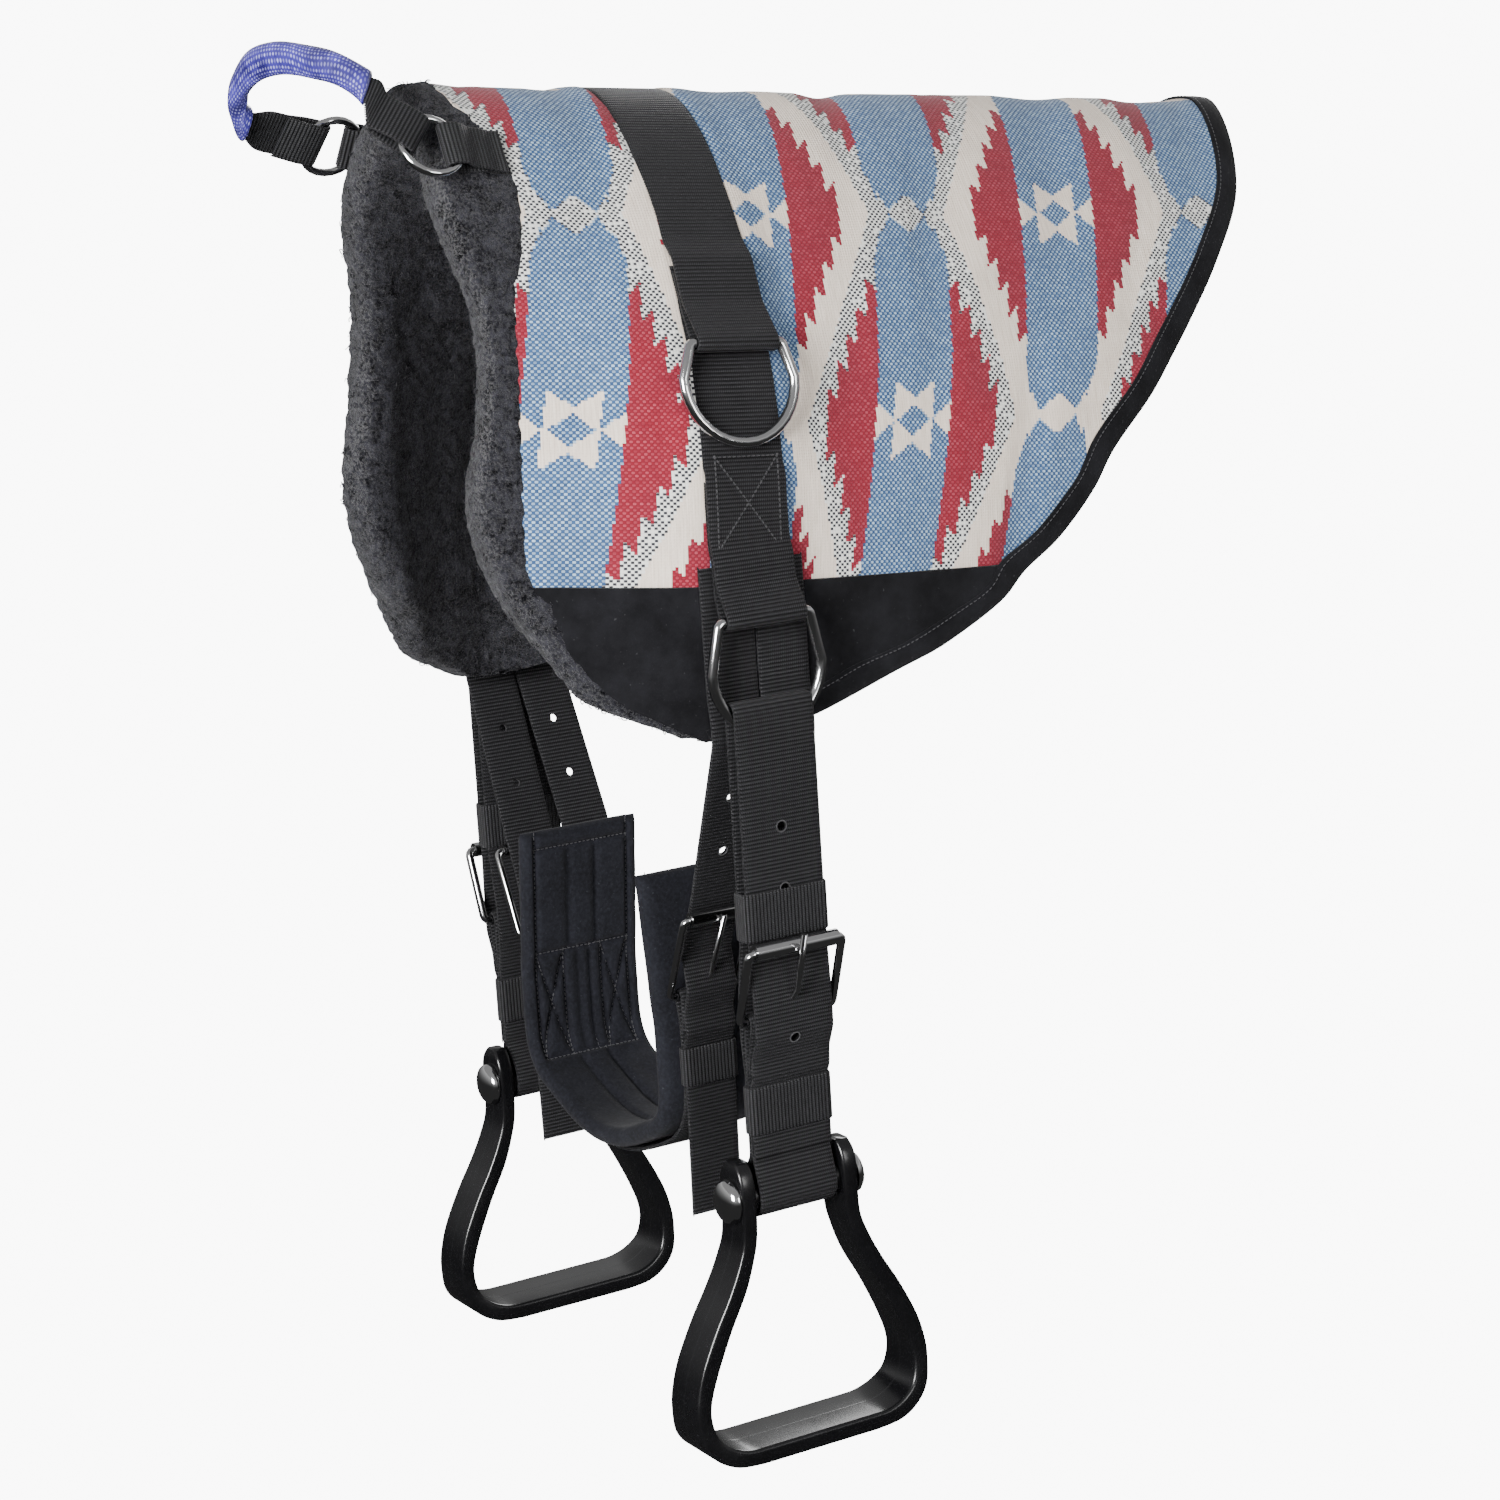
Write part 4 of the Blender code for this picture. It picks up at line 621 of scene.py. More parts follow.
def corner_path(half_x, half_y, corner):
    """Points round a rectangle with rounded corners, as pairs."""
    points = []
    for sx, sy, start in ((1, 1, 0), (-1, 1, 90), (-1, -1, 180), (1, -1, 270)):
        for step in range(5):
            angle = math.radians(start + 22.5 * step)
            points.append((sx * (half_x - corner) + corner * math.cos(angle),
                           sy * (half_y - corner) + corner * math.sin(angle)))
    return points


def loop_web(node, corner=1.6 * MM, thick=1.4 * MM):
    """A keeper: a web that runs round the straps."""
    low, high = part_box(node)
    centre = (low + high) / 2
    points = corner_path((high.x - low.x - thick) / 2, (high.y - low.y - thick) / 2, corner)
    stations = [(Vector((centre.x + x, centre.y + y, low.z)), Vector((centre.x + x, centre.y + y, high.z)))
                for x, y in points + points[:1]]
    even, at = resampled(stations, WEB_STEP)
    rings, places = web_rings(even[:-1], at, thick, closed=True)
    rings.append(rings[0])
    places.append([(at[-1], place[1]) for place in places[0]])
    mesh = outward(grid_mesh(node + "_look", rings, places, closed=True), merged=True)
    return node_object(node, mesh, material_named("ribbed_webbing"), 60)


# Node building

def wired(tree, place, value):
    """Give a socket a field, another socket, a colour or a plain value."""
    if isinstance(value, Field):
        value = value.socket
    if isinstance(value, bpy.types.NodeSocket):
        tree.links.new(value, place)
    elif place.type == "RGBA":
        place.default_value = (*value, 1)
    else:
        place.default_value = value


def add_node(tree, kind, inputs, **settings):
    """A node with its settings, and its inputs by name or number."""
    node = tree.nodes.new(kind)
    for name, value in settings.items():
        setattr(node, name, value)
    for name, value in inputs.items():
        wired(tree, node.inputs[name], value)
    return node


def new_group(name, kind, inputs, outputs):
    """A node group, what it is given by name, and where its results go."""
    tree = bpy.data.node_groups.new(name, kind)
    for label, socket_type, *value in inputs:
        socket = tree.interface.new_socket(name=label, in_out="INPUT", socket_type=socket_type)
        if value:
            socket.default_value = value[0]
    for label, socket_type in outputs:
        tree.interface.new_socket(name=label, in_out="OUTPUT", socket_type=socket_type)
    return tree, tree.nodes.new("NodeGroupInput").outputs, tree.nodes.new("NodeGroupOutput").inputs


class Field:
    """A number inside a tree of nodes that can be reckoned with."""

    def __init__(self, tree, socket):
        self.tree = tree
        self.socket = socket

    def reckon(self, operation, *others):
        node = self.tree.nodes.new("ShaderNodeMath")
        node.operation = operation
        for place, value in zip(node.inputs, (self,) + others):
            wired(self.tree, place, value)
        return Field(self.tree, node.outputs[0])

    def __add__(self, other):
        return self.reckon("ADD", other)

    def __sub__(self, other):
        return self.reckon("SUBTRACT", other)

    def __mul__(self, other):
        return self.reckon("MULTIPLY", other)

    def __truediv__(self, other):
        return self.reckon("DIVIDE", other)

    def less(self, other):
        return self.reckon("LESS_THAN", other)

    def more(self, other):
        return self.reckon("GREATER_THAN", other)

    def floor(self):
        return self.reckon("FLOOR")

    def fract(self):
        return self.reckon("FRACT")

    def size(self):
        return self.reckon("ABSOLUTE")

    def most(self, other):
        return self.reckon("MAXIMUM", other)

    def opposite(self):
        return self.reckon("MULTIPLY_ADD", -1.0, 1.0)

    def folded(self, period):
        """Distance to the nearest whole number of periods."""
        return ((self / period + 0.5).fract() - 0.5).size() * period


# Geometry Nodes

def planted(tree, out, points, shape, rotation, scale, material):
    """Shapes set on points, made real and painted."""
    placed = add_node(tree, "GeometryNodeInstanceOnPoints",
                      {"Points": points, "Instance": shape, "Rotation": rotation, "Scale": scale})
    real = add_node(tree, "GeometryNodeRealizeInstances", {"Geometry": placed.outputs["Instances"]})
    painted = add_node(tree, "GeometryNodeSetMaterial",
                       {"Geometry": real.outputs["Geometry"], "Material": material})
    tree.links.new(painted.outputs["Geometry"], out)
    return tree


def stitch_tree():
    """Threads laid at an even pitch along the edges of the input."""
    tree, given, out = new_group("Sewn thread", "GeometryNodeTree", (
        ("Path", "NodeSocketGeometry"), ("Pitch", "NodeSocketFloat", 3 * MM),
        ("Thread", "NodeSocketFloat", 0.35 * MM), ("Fill", "NodeSocketFloat", 0.78),
        ("Slant", "NodeSocketFloat", 0.0), ("Flat", "NodeSocketFloat", 0.7),
        ("Material", "NodeSocketMaterial")), (("Threads", "NodeSocketGeometry"),))
    pitch, thread, fill, slant, flat = (Field(tree, given[name])
                                        for name in ("Pitch", "Thread", "Fill", "Slant", "Flat"))
    curve = add_node(tree, "GeometryNodeMeshToCurve", {"Mesh": given["Path"]})
    spaced = add_node(tree, "GeometryNodeCurveToPoints", {"Curve": curve.outputs["Curve"], "Length": pitch},
                      mode="LENGTH")
    away = add_node(tree, "GeometryNodeInputNamedAttribute", {"Name": "out"}, data_type="FLOAT_VECTOR")
    aim = add_node(tree, "FunctionNodeAlignRotationToVector", {"Vector": away.outputs["Attribute"]}, axis="Z")
    turn = add_node(tree, "FunctionNodeAlignRotationToVector",
                    {"Rotation": aim.outputs["Rotation"], "Vector": spaced.outputs["Tangent"]},
                    axis="X", pivot_axis="Z")
    chance = add_node(tree, "FunctionNodeRandomValue", {"Min": -0.05, "Max": 0.05, "Seed": 7},
                      data_type="FLOAT")
    angle = add_node(tree, "ShaderNodeCombineXYZ", {"Z": slant + Field(tree, chance.outputs["Value"])})
    slanted = add_node(tree, "FunctionNodeRotateRotation",
                       {"Rotation": turn.outputs["Rotation"], "Rotate By": angle.outputs["Vector"]},
                       rotation_space="LOCAL")
    bead = add_node(tree, "GeometryNodeMeshUVSphere", {"Segments": 6, "Rings": 4, "Radius": 1.0})
    lie = add_node(tree, "GeometryNodeTransform",
                   {"Geometry": bead.outputs["Mesh"], "Rotation": (0, math.pi / 2, 0)})
    size = add_node(tree, "ShaderNodeCombineXYZ", {"X": pitch * fill * 0.5, "Y": thread, "Z": thread * flat})
    return planted(tree, out["Threads"], spaced.outputs["Points"], lie.outputs["Geometry"],
                   slanted.outputs["Rotation"], size.outputs["Vector"], given["Material"])


def tuft_tree():
    """Little curls of yarn scattered over a surface."""
    tree, given, out = new_group("Fleece tufts", "GeometryNodeTree", (
        ("Surface", "NodeSocketGeometry"), ("Density", "NodeSocketFloat", 15000.0),
        ("Curl", "NodeSocketFloat", 1.7 * MM), ("Yarn", "NodeSocketFloat", 0.32 * MM),
        ("Seed", "NodeSocketInt", 4), ("Material", "NodeSocketMaterial")), (("Tufts", "NodeSocketGeometry"),))
    curl, yarn, seed = Field(tree, given["Curl"]), Field(tree, given["Yarn"]), given["Seed"]
    points = add_node(tree, "GeometryNodeDistributePointsOnFaces",
                      {"Mesh": given["Surface"], "Density": given["Density"], "Seed": seed})
    hook = add_node(tree, "GeometryNodeCurveSpiral", {"Resolution": 6, "Rotations": 0.7, "Start Radius": 1.0,
                                                      "End Radius": 0.7, "Height": 0.9})
    profile = add_node(tree, "GeometryNodeCurvePrimitiveCircle", {"Resolution": 3, "Radius": yarn / curl})
    tube = add_node(tree, "GeometryNodeCurveToMesh",
                    {"Curve": hook.outputs["Curve"], "Profile Curve": profile.outputs["Curve"]})
    turn = add_node(tree, "FunctionNodeRandomValue",
                    {"Min": (-1.2, -1.2, -math.pi), "Max": (1.2, 1.2, math.pi), "Seed": seed},
                    data_type="FLOAT_VECTOR")
    lean = add_node(tree, "FunctionNodeRotateRotation",
                    {"Rotation": points.outputs["Rotation"], "Rotate By": turn.outputs["Value"]},
                    rotation_space="LOCAL")
    spread = add_node(tree, "FunctionNodeRandomValue", {"Min": 0.6, "Max": 1.2, "Seed": seed},
                      data_type="FLOAT")
    size = Field(tree, spread.outputs[1]) * curl
    return planted(tree, out["Tufts"], points.outputs["Points"], tube.outputs["Mesh"],
                   lean.outputs["Rotation"], size, given["Material"])


def grown(name, mesh, tree, values):
    """The plain mesh that a tree of nodes makes from a guide mesh."""
    guide = linked(name, mesh)
    run = guide.modifiers.new("grown", "NODES")
    run.node_group = tree
    for item in tree.interface.items_tree:
        if item.item_type == "SOCKET" and item.in_out == "INPUT" and item.name in values:
            run[item.identifier] = values[item.name]
    bpy.context.view_layer.update()
    graph = bpy.context.evaluated_depsgraph_get()
    made = bpy.data.meshes.new_from_object(guide.evaluated_get(graph))
    bpy.data.objects.remove(guide)
    bpy.data.meshes.remove(mesh)
    return made


def sewn(name, lines, material, body, slot, pitch, thread, fill=0.78, slant=0.0):
    """Threads along lines of points, each with its outward direction."""
    tree = bpy.data.node_groups.get("Sewn thread") or stitch_tree()
    points, edges, ways = [], [], []
    for line in lines:
        start = len(points)
        for point, way in line:
            points.append(tuple(point))
            ways += list(way)
        edges += [(start + k, start + k + 1) for k in range(len(line) - 1)]
    mesh = bpy.data.meshes.new(name)
    mesh.from_pydata(points, edges, [])
    attribute = mesh.attributes.new("out", "FLOAT_VECTOR", "POINT")
    attribute.data.foreach_set("vector", ways)
    threads = grown(name, mesh, tree, {"Pitch": pitch, "Thread": thread, "Fill": fill, "Slant": slant,
                                       "Material": material})
    return new_object(name, threads, material, body, slot)


def stitched(name, lines, slot, pitch, thread):
    """Rows of stitches in the pad."""
    return sewn(name, lines, material_named("sewing_thread"), "pad", slot, pitch, thread)


# Shader building

def mixed(tree, share, first, second):
    """A colour between two, each a socket or an RGB value."""
    node = add_node(tree, "ShaderNodeMix", {"Factor": share, 6: first, 7: second}, data_type="RGBA")
    return node.outputs[2]


def grain(tree, vector, scale, detail=3.0, rough=0.6):
    """A noise value at a scale in waves per metre."""
    node = add_node(tree, "ShaderNodeTexNoise",
                    {"Scale": scale, "Detail": detail, "Roughness": rough, "Vector": vector})
    return Field(tree, node.outputs["Fac"])


def ranged(tree, value, low, high, to_low=0.0, to_high=1.0):
    """A field stretched from one range to another, and held there."""
    node = add_node(tree, "ShaderNodeMapRange", {"From Min": low, "From Max": high, "To Min": to_low,
                                                 "To Max": to_high, "Value": value})
    return Field(tree, node.outputs["Result"])


def finished(tree, shader, height, distance, strength, values):
    """Give the shader its bump and its values by input name."""
    bump = add_node(tree, "ShaderNodeBump", {"Distance": distance, "Strength": strength, "Height": height})
    for name, value in {"Normal": bump.outputs["Normal"], **values}.items():
        wired(tree, shader.inputs[name], value)


def own_place(tree):
    """Object coordinates of the piece."""
    return tree.nodes.new("ShaderNodeTexCoord").outputs["Object"]


def level_of(tree, vector, axis):
    """One axis of a vector as a field."""
    return Field(tree, add_node(tree, "ShaderNodeSeparateXYZ", {"Vector": vector}).outputs[axis])


def cloth_place(tree):
    """Two fields: length along the cloth and place across it, in metres."""
    node = tree.nodes.new("ShaderNodeUVMap")
    node.uv_map = "cloth"
    return level_of(tree, node.outputs["UV"], "X"), level_of(tree, node.outputs["UV"], "Y")


def joined_place(tree, x, y):
    """A vector out of two fields."""
    return add_node(tree, "ShaderNodeCombineXYZ", {"X": x, "Y": y}).outputs["Vector"]


def weave_group():
    """Plain weave: which yarn lies on top, its dome and a chance per crossing."""
    tree, given, out = new_group("Plain weave", "ShaderNodeTree",
                                 [(name, "NodeSocketFloat") for name in ("U", "V", "Yarn")],
                                 [(name, "NodeSocketFloat") for name in ("Over", "Dome", "Chance")])
    yarn = Field(tree, given["Yarn"])
    u = Field(tree, given["U"]) / yarn
    v = Field(tree, given["V"]) / yarn
    over = ((u.floor() + v.floor()) / 2).fract().more(0.25)
    across_u = (u.fract() - 0.5) * 2
    across_v = (v.fract() - 0.5) * 2
    dome_u = (across_u * across_u).opposite()
    dome_v = (across_v * across_v).opposite()
    dome = dome_u * (dome_v * 0.5 + 0.5) * over + dome_v * (dome_u * 0.5 + 0.5) * over.opposite()
    chance = add_node(tree, "ShaderNodeTexWhiteNoise", {"Vector": joined_place(tree, u.floor(), v.floor())},
                      noise_dimensions="2D")
    for name, value in (("Over", over), ("Dome", dome), ("Chance", chance.outputs["Value"])):
        wired(tree, out[name], value)
    return tree


def woven(tree, u, v, yarn):
    """The three fields of the weave at a yarn size."""
    group = bpy.data.node_groups.get("Plain weave") or weave_group()
    node = add_node(tree, "ShaderNodeGroup", {}, node_tree=group)
    for name, value in (("U", u), ("V", v), ("Yarn", yarn)):
        wired(tree, node.inputs[name], value)
    return tuple(Field(tree, node.outputs[name]) for name in ("Over", "Dome", "Chance"))


def star_column(x, y, cloth):
    """Red, blue and star masks of a column, x from its middle and y from a star."""
    strip = cloth.strip_half
    step = cloth.tooth_width
    teeth = (x - strip) / step
    limit = teeth.fract() * cloth.tooth_tip + cloth.red_half - teeth.floor() * cloth.tooth_height
    red = teeth.more(0.0) * teeth.less(float(cloth.teeth)) * y.less(limit)
    gap = y * -1.0 + cloth.half_period
    jaw_start = strip - 2 * step
    jaw = (x - jaw_start) / step
    jaw_limit = (jaw.floor() * 10.4 * MM + 11.3 * MM) * jaw.fract() + jaw.floor() * 5.7 * MM + 2 * MM
    jaws = jaw.more(0.0) * gap.less(jaw_limit)
    lozenge = (x / (14.5 * MM) + gap / (12.8 * MM)).less(1.0) * gap.less(11.2 * MM)
    star_half, star_tall, notch = 14.2 * MM, 21.7 * MM, 12.4 * MM
    body = x.less(star_half) * (y - x * ((star_tall - notch) / star_half)).less(notch)
    diamond = (x / (12.2 * MM) + y / (8.8 * MM)).less(1.0)
    wing = x.more(star_half) * (y - (x - star_half) * (10 * MM / (strip - star_half))).less(0.0)
    star = body * diamond.opposite() + wing
    blue = x.less(strip) * jaws.most(lozenge).opposite()
    return red, blue, star * x.less(strip)


def blanket_group(cloth):
    """The south-western star pattern: colour and yarn height, with painted shade in the gaps between the
    yarns.
    """
    tree, given, out = new_group("Star blanket", "ShaderNodeTree",
                                 (("U", "NodeSocketFloat"), ("V", "NodeSocketFloat")),
                                 (("Color", "NodeSocketColor"), ("Height", "NodeSocketFloat")))
    u, v = Field(tree, given["U"]), Field(tree, given["V"])
    yarn = cloth.yarn
    # Motif edges step from yarn to yarn.
    step_u = ((u / yarn).floor() + 0.5) * yarn
    step_v = ((v / yarn).floor() + 0.5) * yarn
    fall = step_v - cloth.star_level + cloth.half_period
    column = (step_u + fall * cloth.slant - cloth.first_column) / (fall * -cloth.fan + 1.0)
    x_low = column.folded(2 * cloth.pitch)
    y_low = (step_v - cloth.star_level).folded(2 * cloth.half_period)
    red_low, blue_low, star_low = star_column(x_low, y_low, cloth)
    red_high, blue_high, star_high = star_column(x_low * -1.0 + cloth.pitch, y_low * -1.0 + cloth.half_period,
                                                 cloth)
    border = y_low * ((cloth.border_low - cloth.border_high) / cloth.half_period) + cloth.border_high
    over, dome, chance = woven(tree, u, v, yarn)
    dot = over.opposite() * ranged(tree, dome, 0.12, 0.42)
    # Painted shade: where the yarn domes fall away between the yarns, the blue, the red and the grey are
    # darkened.
    gap = ranged(tree, dome, 0.0, 0.36, 1.0, 0.0)
    streaks = grain(tree, joined_place(tree, u * 1400.0, v * 60.0), 1.0, 2.0)
    slubs = ranged(tree, grain(tree, joined_place(tree, u * 45.0, v * 640.0), 1.0, 2.0), 0.32, 0.68)
    cream = mixed(tree, ranged(tree, streaks, 0.3, 0.7), cloth.cream, cloth.cream_shade)
    pepper = mixed(tree, dot * chance.more(0.12), cloth.white, cloth.dark)
    pepper = mixed(tree, gap * 0.35, pepper, cloth.dark)
    red = mixed(tree, dot * (chance * 0.6 + slubs * 0.5), cloth.red, cloth.red_light)
    red = mixed(tree, gap * 0.75, red, cloth.red_shade)
    blue = mixed(tree, chance * 0.5 + slubs * 0.4, cloth.blue, cloth.blue_shade)
    blue = mixed(tree, dot * (chance * 0.5 + slubs * 0.35 + 0.25), blue, cloth.blue_light)
    blue = mixed(tree, gap * 0.8, blue, cloth.blue_gap_shade)
    colour = mixed(tree, x_low.less(border), cream, pepper)
    for mask, paint in ((red_low.most(red_high), red), (blue_low.most(blue_high), blue),
                        (star_low.most(star_high), cream)):
        colour = mixed(tree, mask, colour, paint)
    wired(tree, out["Color"], colour)
    wired(tree, out["Height"], dome + chance * 0.3)
    return tree


def paint_blanket(tree, shader):
    """The star pattern, with a little soil in it."""
    u, v = cloth_place(tree)
    pattern = add_node(tree, "ShaderNodeGroup", {},
                       node_tree=blanket_group(bpy.context.scene.bareback_pad_cloth))
    wired(tree, pattern.inputs["U"], u)
    wired(tree, pattern.inputs["V"], v)
    soil = ranged(tree, grain(tree, own_place(tree), 26.0, 2.0), 0.3, 0.7, 0.0, 0.12)
    finished(tree, shader, pattern.outputs["Height"], 0.35 * MM, 0.7, {
        "Base Color": mixed(tree, soil, pattern.outputs["Color"], (0.02, 0.025, 0.04)),
        "Roughness": 0.86, "Specular IOR Level": 0.25, "Sheen Weight": 0.1, "Sheen Roughness": 0.5})


def paint_webbing(tree, shader):
    """Ribbed nylon web, each rib a row of slanting yarns, with painted highlights on the rib tops and painted
    shade between the ribs.
    """
    webs = bpy.context.scene.bareback_pad_webs
    u, v = cloth_place(tree)
    rib = ((u / webs.rib).fract() - 0.5).size() * 2
    rise = (rib * rib).opposite()
    slant = (v + u * 0.35) / (webs.rib * 0.58) + (u / webs.rib).floor() * 0.5
    yarns = (slant.fract() - 0.5).size() * 2
    bead = (yarns * yarns).opposite()
    place = own_place(tree)
    mottle = grain(tree, place, 900.0, 2.0)
    worn = ranged(tree, grain(tree, place, 55.0, 3.0), 0.35, 0.7)
    # Painted highlight and shade: rib tops and yarn beads are painted light, the grooves between the ribs
    # near black, with a touch of wear.
    rib_light_and_wear = rise * rise * rise * (bead * bead * 0.95 + 0.05) + worn * 0.05
    finished(tree, shader, rise * (bead * 0.45 + 0.75) + mottle * 0.1, 0.55 * MM, 1.0, {
        "Base Color": mixed(tree, rib_light_and_wear, webs.shade, webs.colour),
        "Roughness": ranged(tree, bead * rise, 0.0, 1.0, 0.62, 0.38),
        "Specular IOR Level": 0.28, "Sheen Weight": 0.03})


def paint_thread(tree, shader):
    """Twisted sewing thread."""
    webs = bpy.context.scene.bareback_pad_webs
    twist = grain(tree, own_place(tree), 1500.0, 2.0)
    for name, value in (("Base Color", mixed(tree, twist, webs.shade, webs.thread)),
                        ("Roughness", 0.5), ("Sheen Weight", 0.2)):
        wired(tree, shader.inputs[name], value)


def paint_selvage(tree, shader):
    """Braided yarn along the edges of the webs."""
    webs = bpy.context.scene.bareback_pad_webs
    strands = ranged(tree, grain(tree, own_place(tree), 1700.0, 2.0), 0.42, 0.62)
    finished(tree, shader, strands, 0.25 * MM, 0.8, {
        "Base Color": mixed(tree, strands * 0.7, webs.shade, webs.colour),
        "Roughness": 0.45, "Specular IOR Level": 0.3})


def paint_suede(tree, shader):
    """Black suede, brushed here and there, with a little lint."""
    place = own_place(tree)
    nap = grain(tree, place, 1400.0, 4.0, 0.7)
    brushed = ranged(tree, grain(tree, place, 30.0, 4.0, 0.65), 0.35, 0.68)
    lint = ranged(tree, grain(tree, place, 420.0, 2.0, 0.5), 0.70, 0.78)
    colour = mixed(tree, brushed, (0.004, 0.004, 0.0048), (0.010, 0.010, 0.012))
    finished(tree, shader, nap + brushed * 0.6, 0.25 * MM, 0.7, {
        "Base Color": mixed(tree, lint * 0.35, colour, (0.07, 0.07, 0.075)),
        "Roughness": 0.95, "Specular IOR Level": 0.1, "Sheen Weight": 0.08, "Sheen Roughness": 0.4})


def paint_fleece(tree, shader):
    """Charcoal fleece: matted curls, light at their tips."""
    place = own_place(tree)
    curls = grain(tree, place, 230.0, 4.0, 0.7)
    tufts = grain(tree, place, 75.0, 3.0, 0.6)
    fluff = ranged(tree, grain(tree, place, 620.0, 4.0, 0.75), 0.5, 0.72)
    colour = mixed(tree, ranged(tree, curls * 0.65 + tufts * 0.35, 0.4, 0.6), (0.0022, 0.0022, 0.0029),
                   (0.030, 0.030, 0.036))
    finished(tree, shader, curls + fluff * 0.6 + tufts * 0.8, 2.4 * MM, 1.0, {
        "Base Color": mixed(tree, fluff * 0.6, colour, (0.085, 0.084, 0.098)),
        "Roughness": 1.0, "Specular IOR Level": 0.0, "Sheen Weight": 0.14, "Sheen Roughness": 0.4})


def paint_nickel(tree, shader):
    """Polished nickel, smeared by hands."""
    metal = bpy.context.scene.bareback_pad_metal
    place = own_place(tree)
    smear = grain(tree, place, 45.0, 4.0)
    rub = ranged(tree, grain(tree, place, 700.0, 2.0), 0.45, 0.75)
    finished(tree, shader, smear, 0.05 * MM, 0.4, {
        "Base Color": mixed(tree, smear * 0.35 + rub * 0.1, metal.colour, (0.42, 0.42, 0.41)),
        "Metallic": 1.0,
        "Roughness": ranged(tree, smear + rub * 0.3, 0.35, 0.9, metal.roughness, metal.roughness * 2.2)})


def paint_plastic(tree, shader):
    """Glossy black nylon with a faint parting line down the band."""
    place = own_place(tree)
    peel = grain(tree, place, 700.0, 2.0)
    cloud = grain(tree, place, 32.0, 3.0)
    scuffs = ranged(tree, grain(tree, place, 260.0, 4.0, 0.7), 0.62, 0.8)
    middle = bpy.context.scene.bareback_pad_metal.stirrup_middle
    line = ranged(tree, (level_of(tree, place, "X").size() - middle).size(), 0.0, 0.5 * MM, 1.0, 0.0)
    colour = mixed(tree, cloud, (0.0022, 0.0022, 0.0026), (0.0045, 0.0045, 0.0052))
    finished(tree, shader, peel * 0.3 + cloud - line * 0.8, 0.12 * MM, 0.6, {
        "Base Color": mixed(tree, scuffs * 0.12 + line * 0.3, colour, (0.02, 0.02, 0.022)),
        "Roughness": ranged(tree, cloud + peel * 0.1 + scuffs * 0.3, 0.3, 1.0, 0.17, 0.34)})


def paint_quilt(tree, shader):
    """Navy-black brushed cotton."""
    u, v = cloth_place(tree)
    twill = (((u + v) / (1.1 * MM)).fract() - 0.5).size() * 2
    place = own_place(tree)
    cloud = grain(tree, place, 40.0, 4.0)
    nap = grain(tree, place, 480.0, 4.0, 0.7)
    lint = ranged(tree, grain(tree, place, 600.0, 3.0), 0.64, 0.76)
    colour = mixed(tree, ranged(tree, cloud, 0.3, 0.7), (0.0046, 0.0048, 0.0066), (0.0082, 0.0086, 0.0118))
    colour = mixed(tree, ranged(tree, nap, 0.4, 0.7) * 0.5, colour, (0.019, 0.020, 0.027))
    finished(tree, shader, twill * 0.25 + nap * 0.7, 0.3 * MM, 0.7, {
        "Base Color": mixed(tree, lint * 0.25, colour, (0.09, 0.095, 0.11)),
        "Roughness": 0.9, "Specular IOR Level": 0.12, "Sheen Weight": 0.03})


def paint_sleeve(tree, shader):
    """Clear glossy skin over a blue-violet mesh of crossing threads, with painted glints on the raised
    threads.
    """
    webs = bpy.context.scene.bareback_pad_webs
    u, v = cloth_place(tree)
    over, dome, chance = woven(tree, u + v, u - v, 2.1 * MM)
    place = own_place(tree)
    cloud = ranged(tree, grain(tree, place, 70.0, 3.0), 0.35, 0.65)
    creases = grain(tree, place, 38.0, 2.0)
    deep = mixed(tree, cloud, webs.sleeve_deep, webs.sleeve_light)
    # Painted highlight: the tops of the raised threads are painted bright as glints.
    painted_glint = over * ranged(tree, dome, 0.35, 0.8) * (chance * 0.8 + 0.2)
    finished(tree, shader, dome * 0.3 + creases * 3.0, 0.3 * MM, 0.7, {
        "Base Color": mixed(tree, painted_glint * (cloud * 0.5 + 0.4), deep, webs.sleeve_bright),
        "Roughness": 0.3, "Coat Weight": 1.0, "Coat Roughness": 0.05})


def paint_floor(tree, shader):
    """A pale floor, brighter to the camera and darker low down to mirrors."""
    stage = bpy.context.scene.bareback_pad_stage
    place = own_place(tree)
    for name, value in (("Base Color", mixed(tree, grain(tree, place, 3.0), (0.93,) * 3, (0.95,) * 3)),
                        ("Roughness", 0.9)):
        wired(tree, shader.inputs[name], value)
    seen = tree.nodes.new("ShaderNodeLightPath")
    level = ranged(tree, level_of(tree, place, "Z"), stage.floor, stage.floor + stage.wall, 0.04, 0.75)
    glow = add_node(tree, "ShaderNodeEmission", {"Strength": stage.backdrop})
    mirrored = add_node(tree, "ShaderNodeEmission", {"Strength": level})
    gloss = add_node(tree, "ShaderNodeMixShader",
                     {"Fac": seen.outputs["Is Glossy Ray"], 1: shader.outputs["BSDF"],
                      2: mirrored.outputs["Emission"]})
    blend = add_node(tree, "ShaderNodeMixShader",
                     {"Fac": seen.outputs["Is Camera Ray"], 1: gloss.outputs["Shader"],
                      2: glow.outputs["Emission"]})
    tree.links.new(blend.outputs["Shader"], tree.nodes["Material Output"].inputs["Surface"])


PAINTERS = {"woven_blanket": paint_blanket, "ribbed_webbing": paint_webbing, "sewing_thread": paint_thread,
            "selvage_yarn": paint_selvage, "black_suede": paint_suede, "charcoal_fleece": paint_fleece,
            "polished_nickel": paint_nickel, "moulded_plastic": paint_plastic,
            "brushed_cotton": paint_quilt, "glossy_mesh": paint_sleeve, "pale_floor": paint_floor}


def material_named(name):
    """A shared material, painted when it is first asked for."""
    material = bpy.data.materials.get(name)
    if material is None:
        material = bpy.data.materials.new(name)
        material.use_nodes = True
        PAINTERS[name](material.node_tree, material.node_tree.nodes["Principled BSDF"])
    return material


# Settings

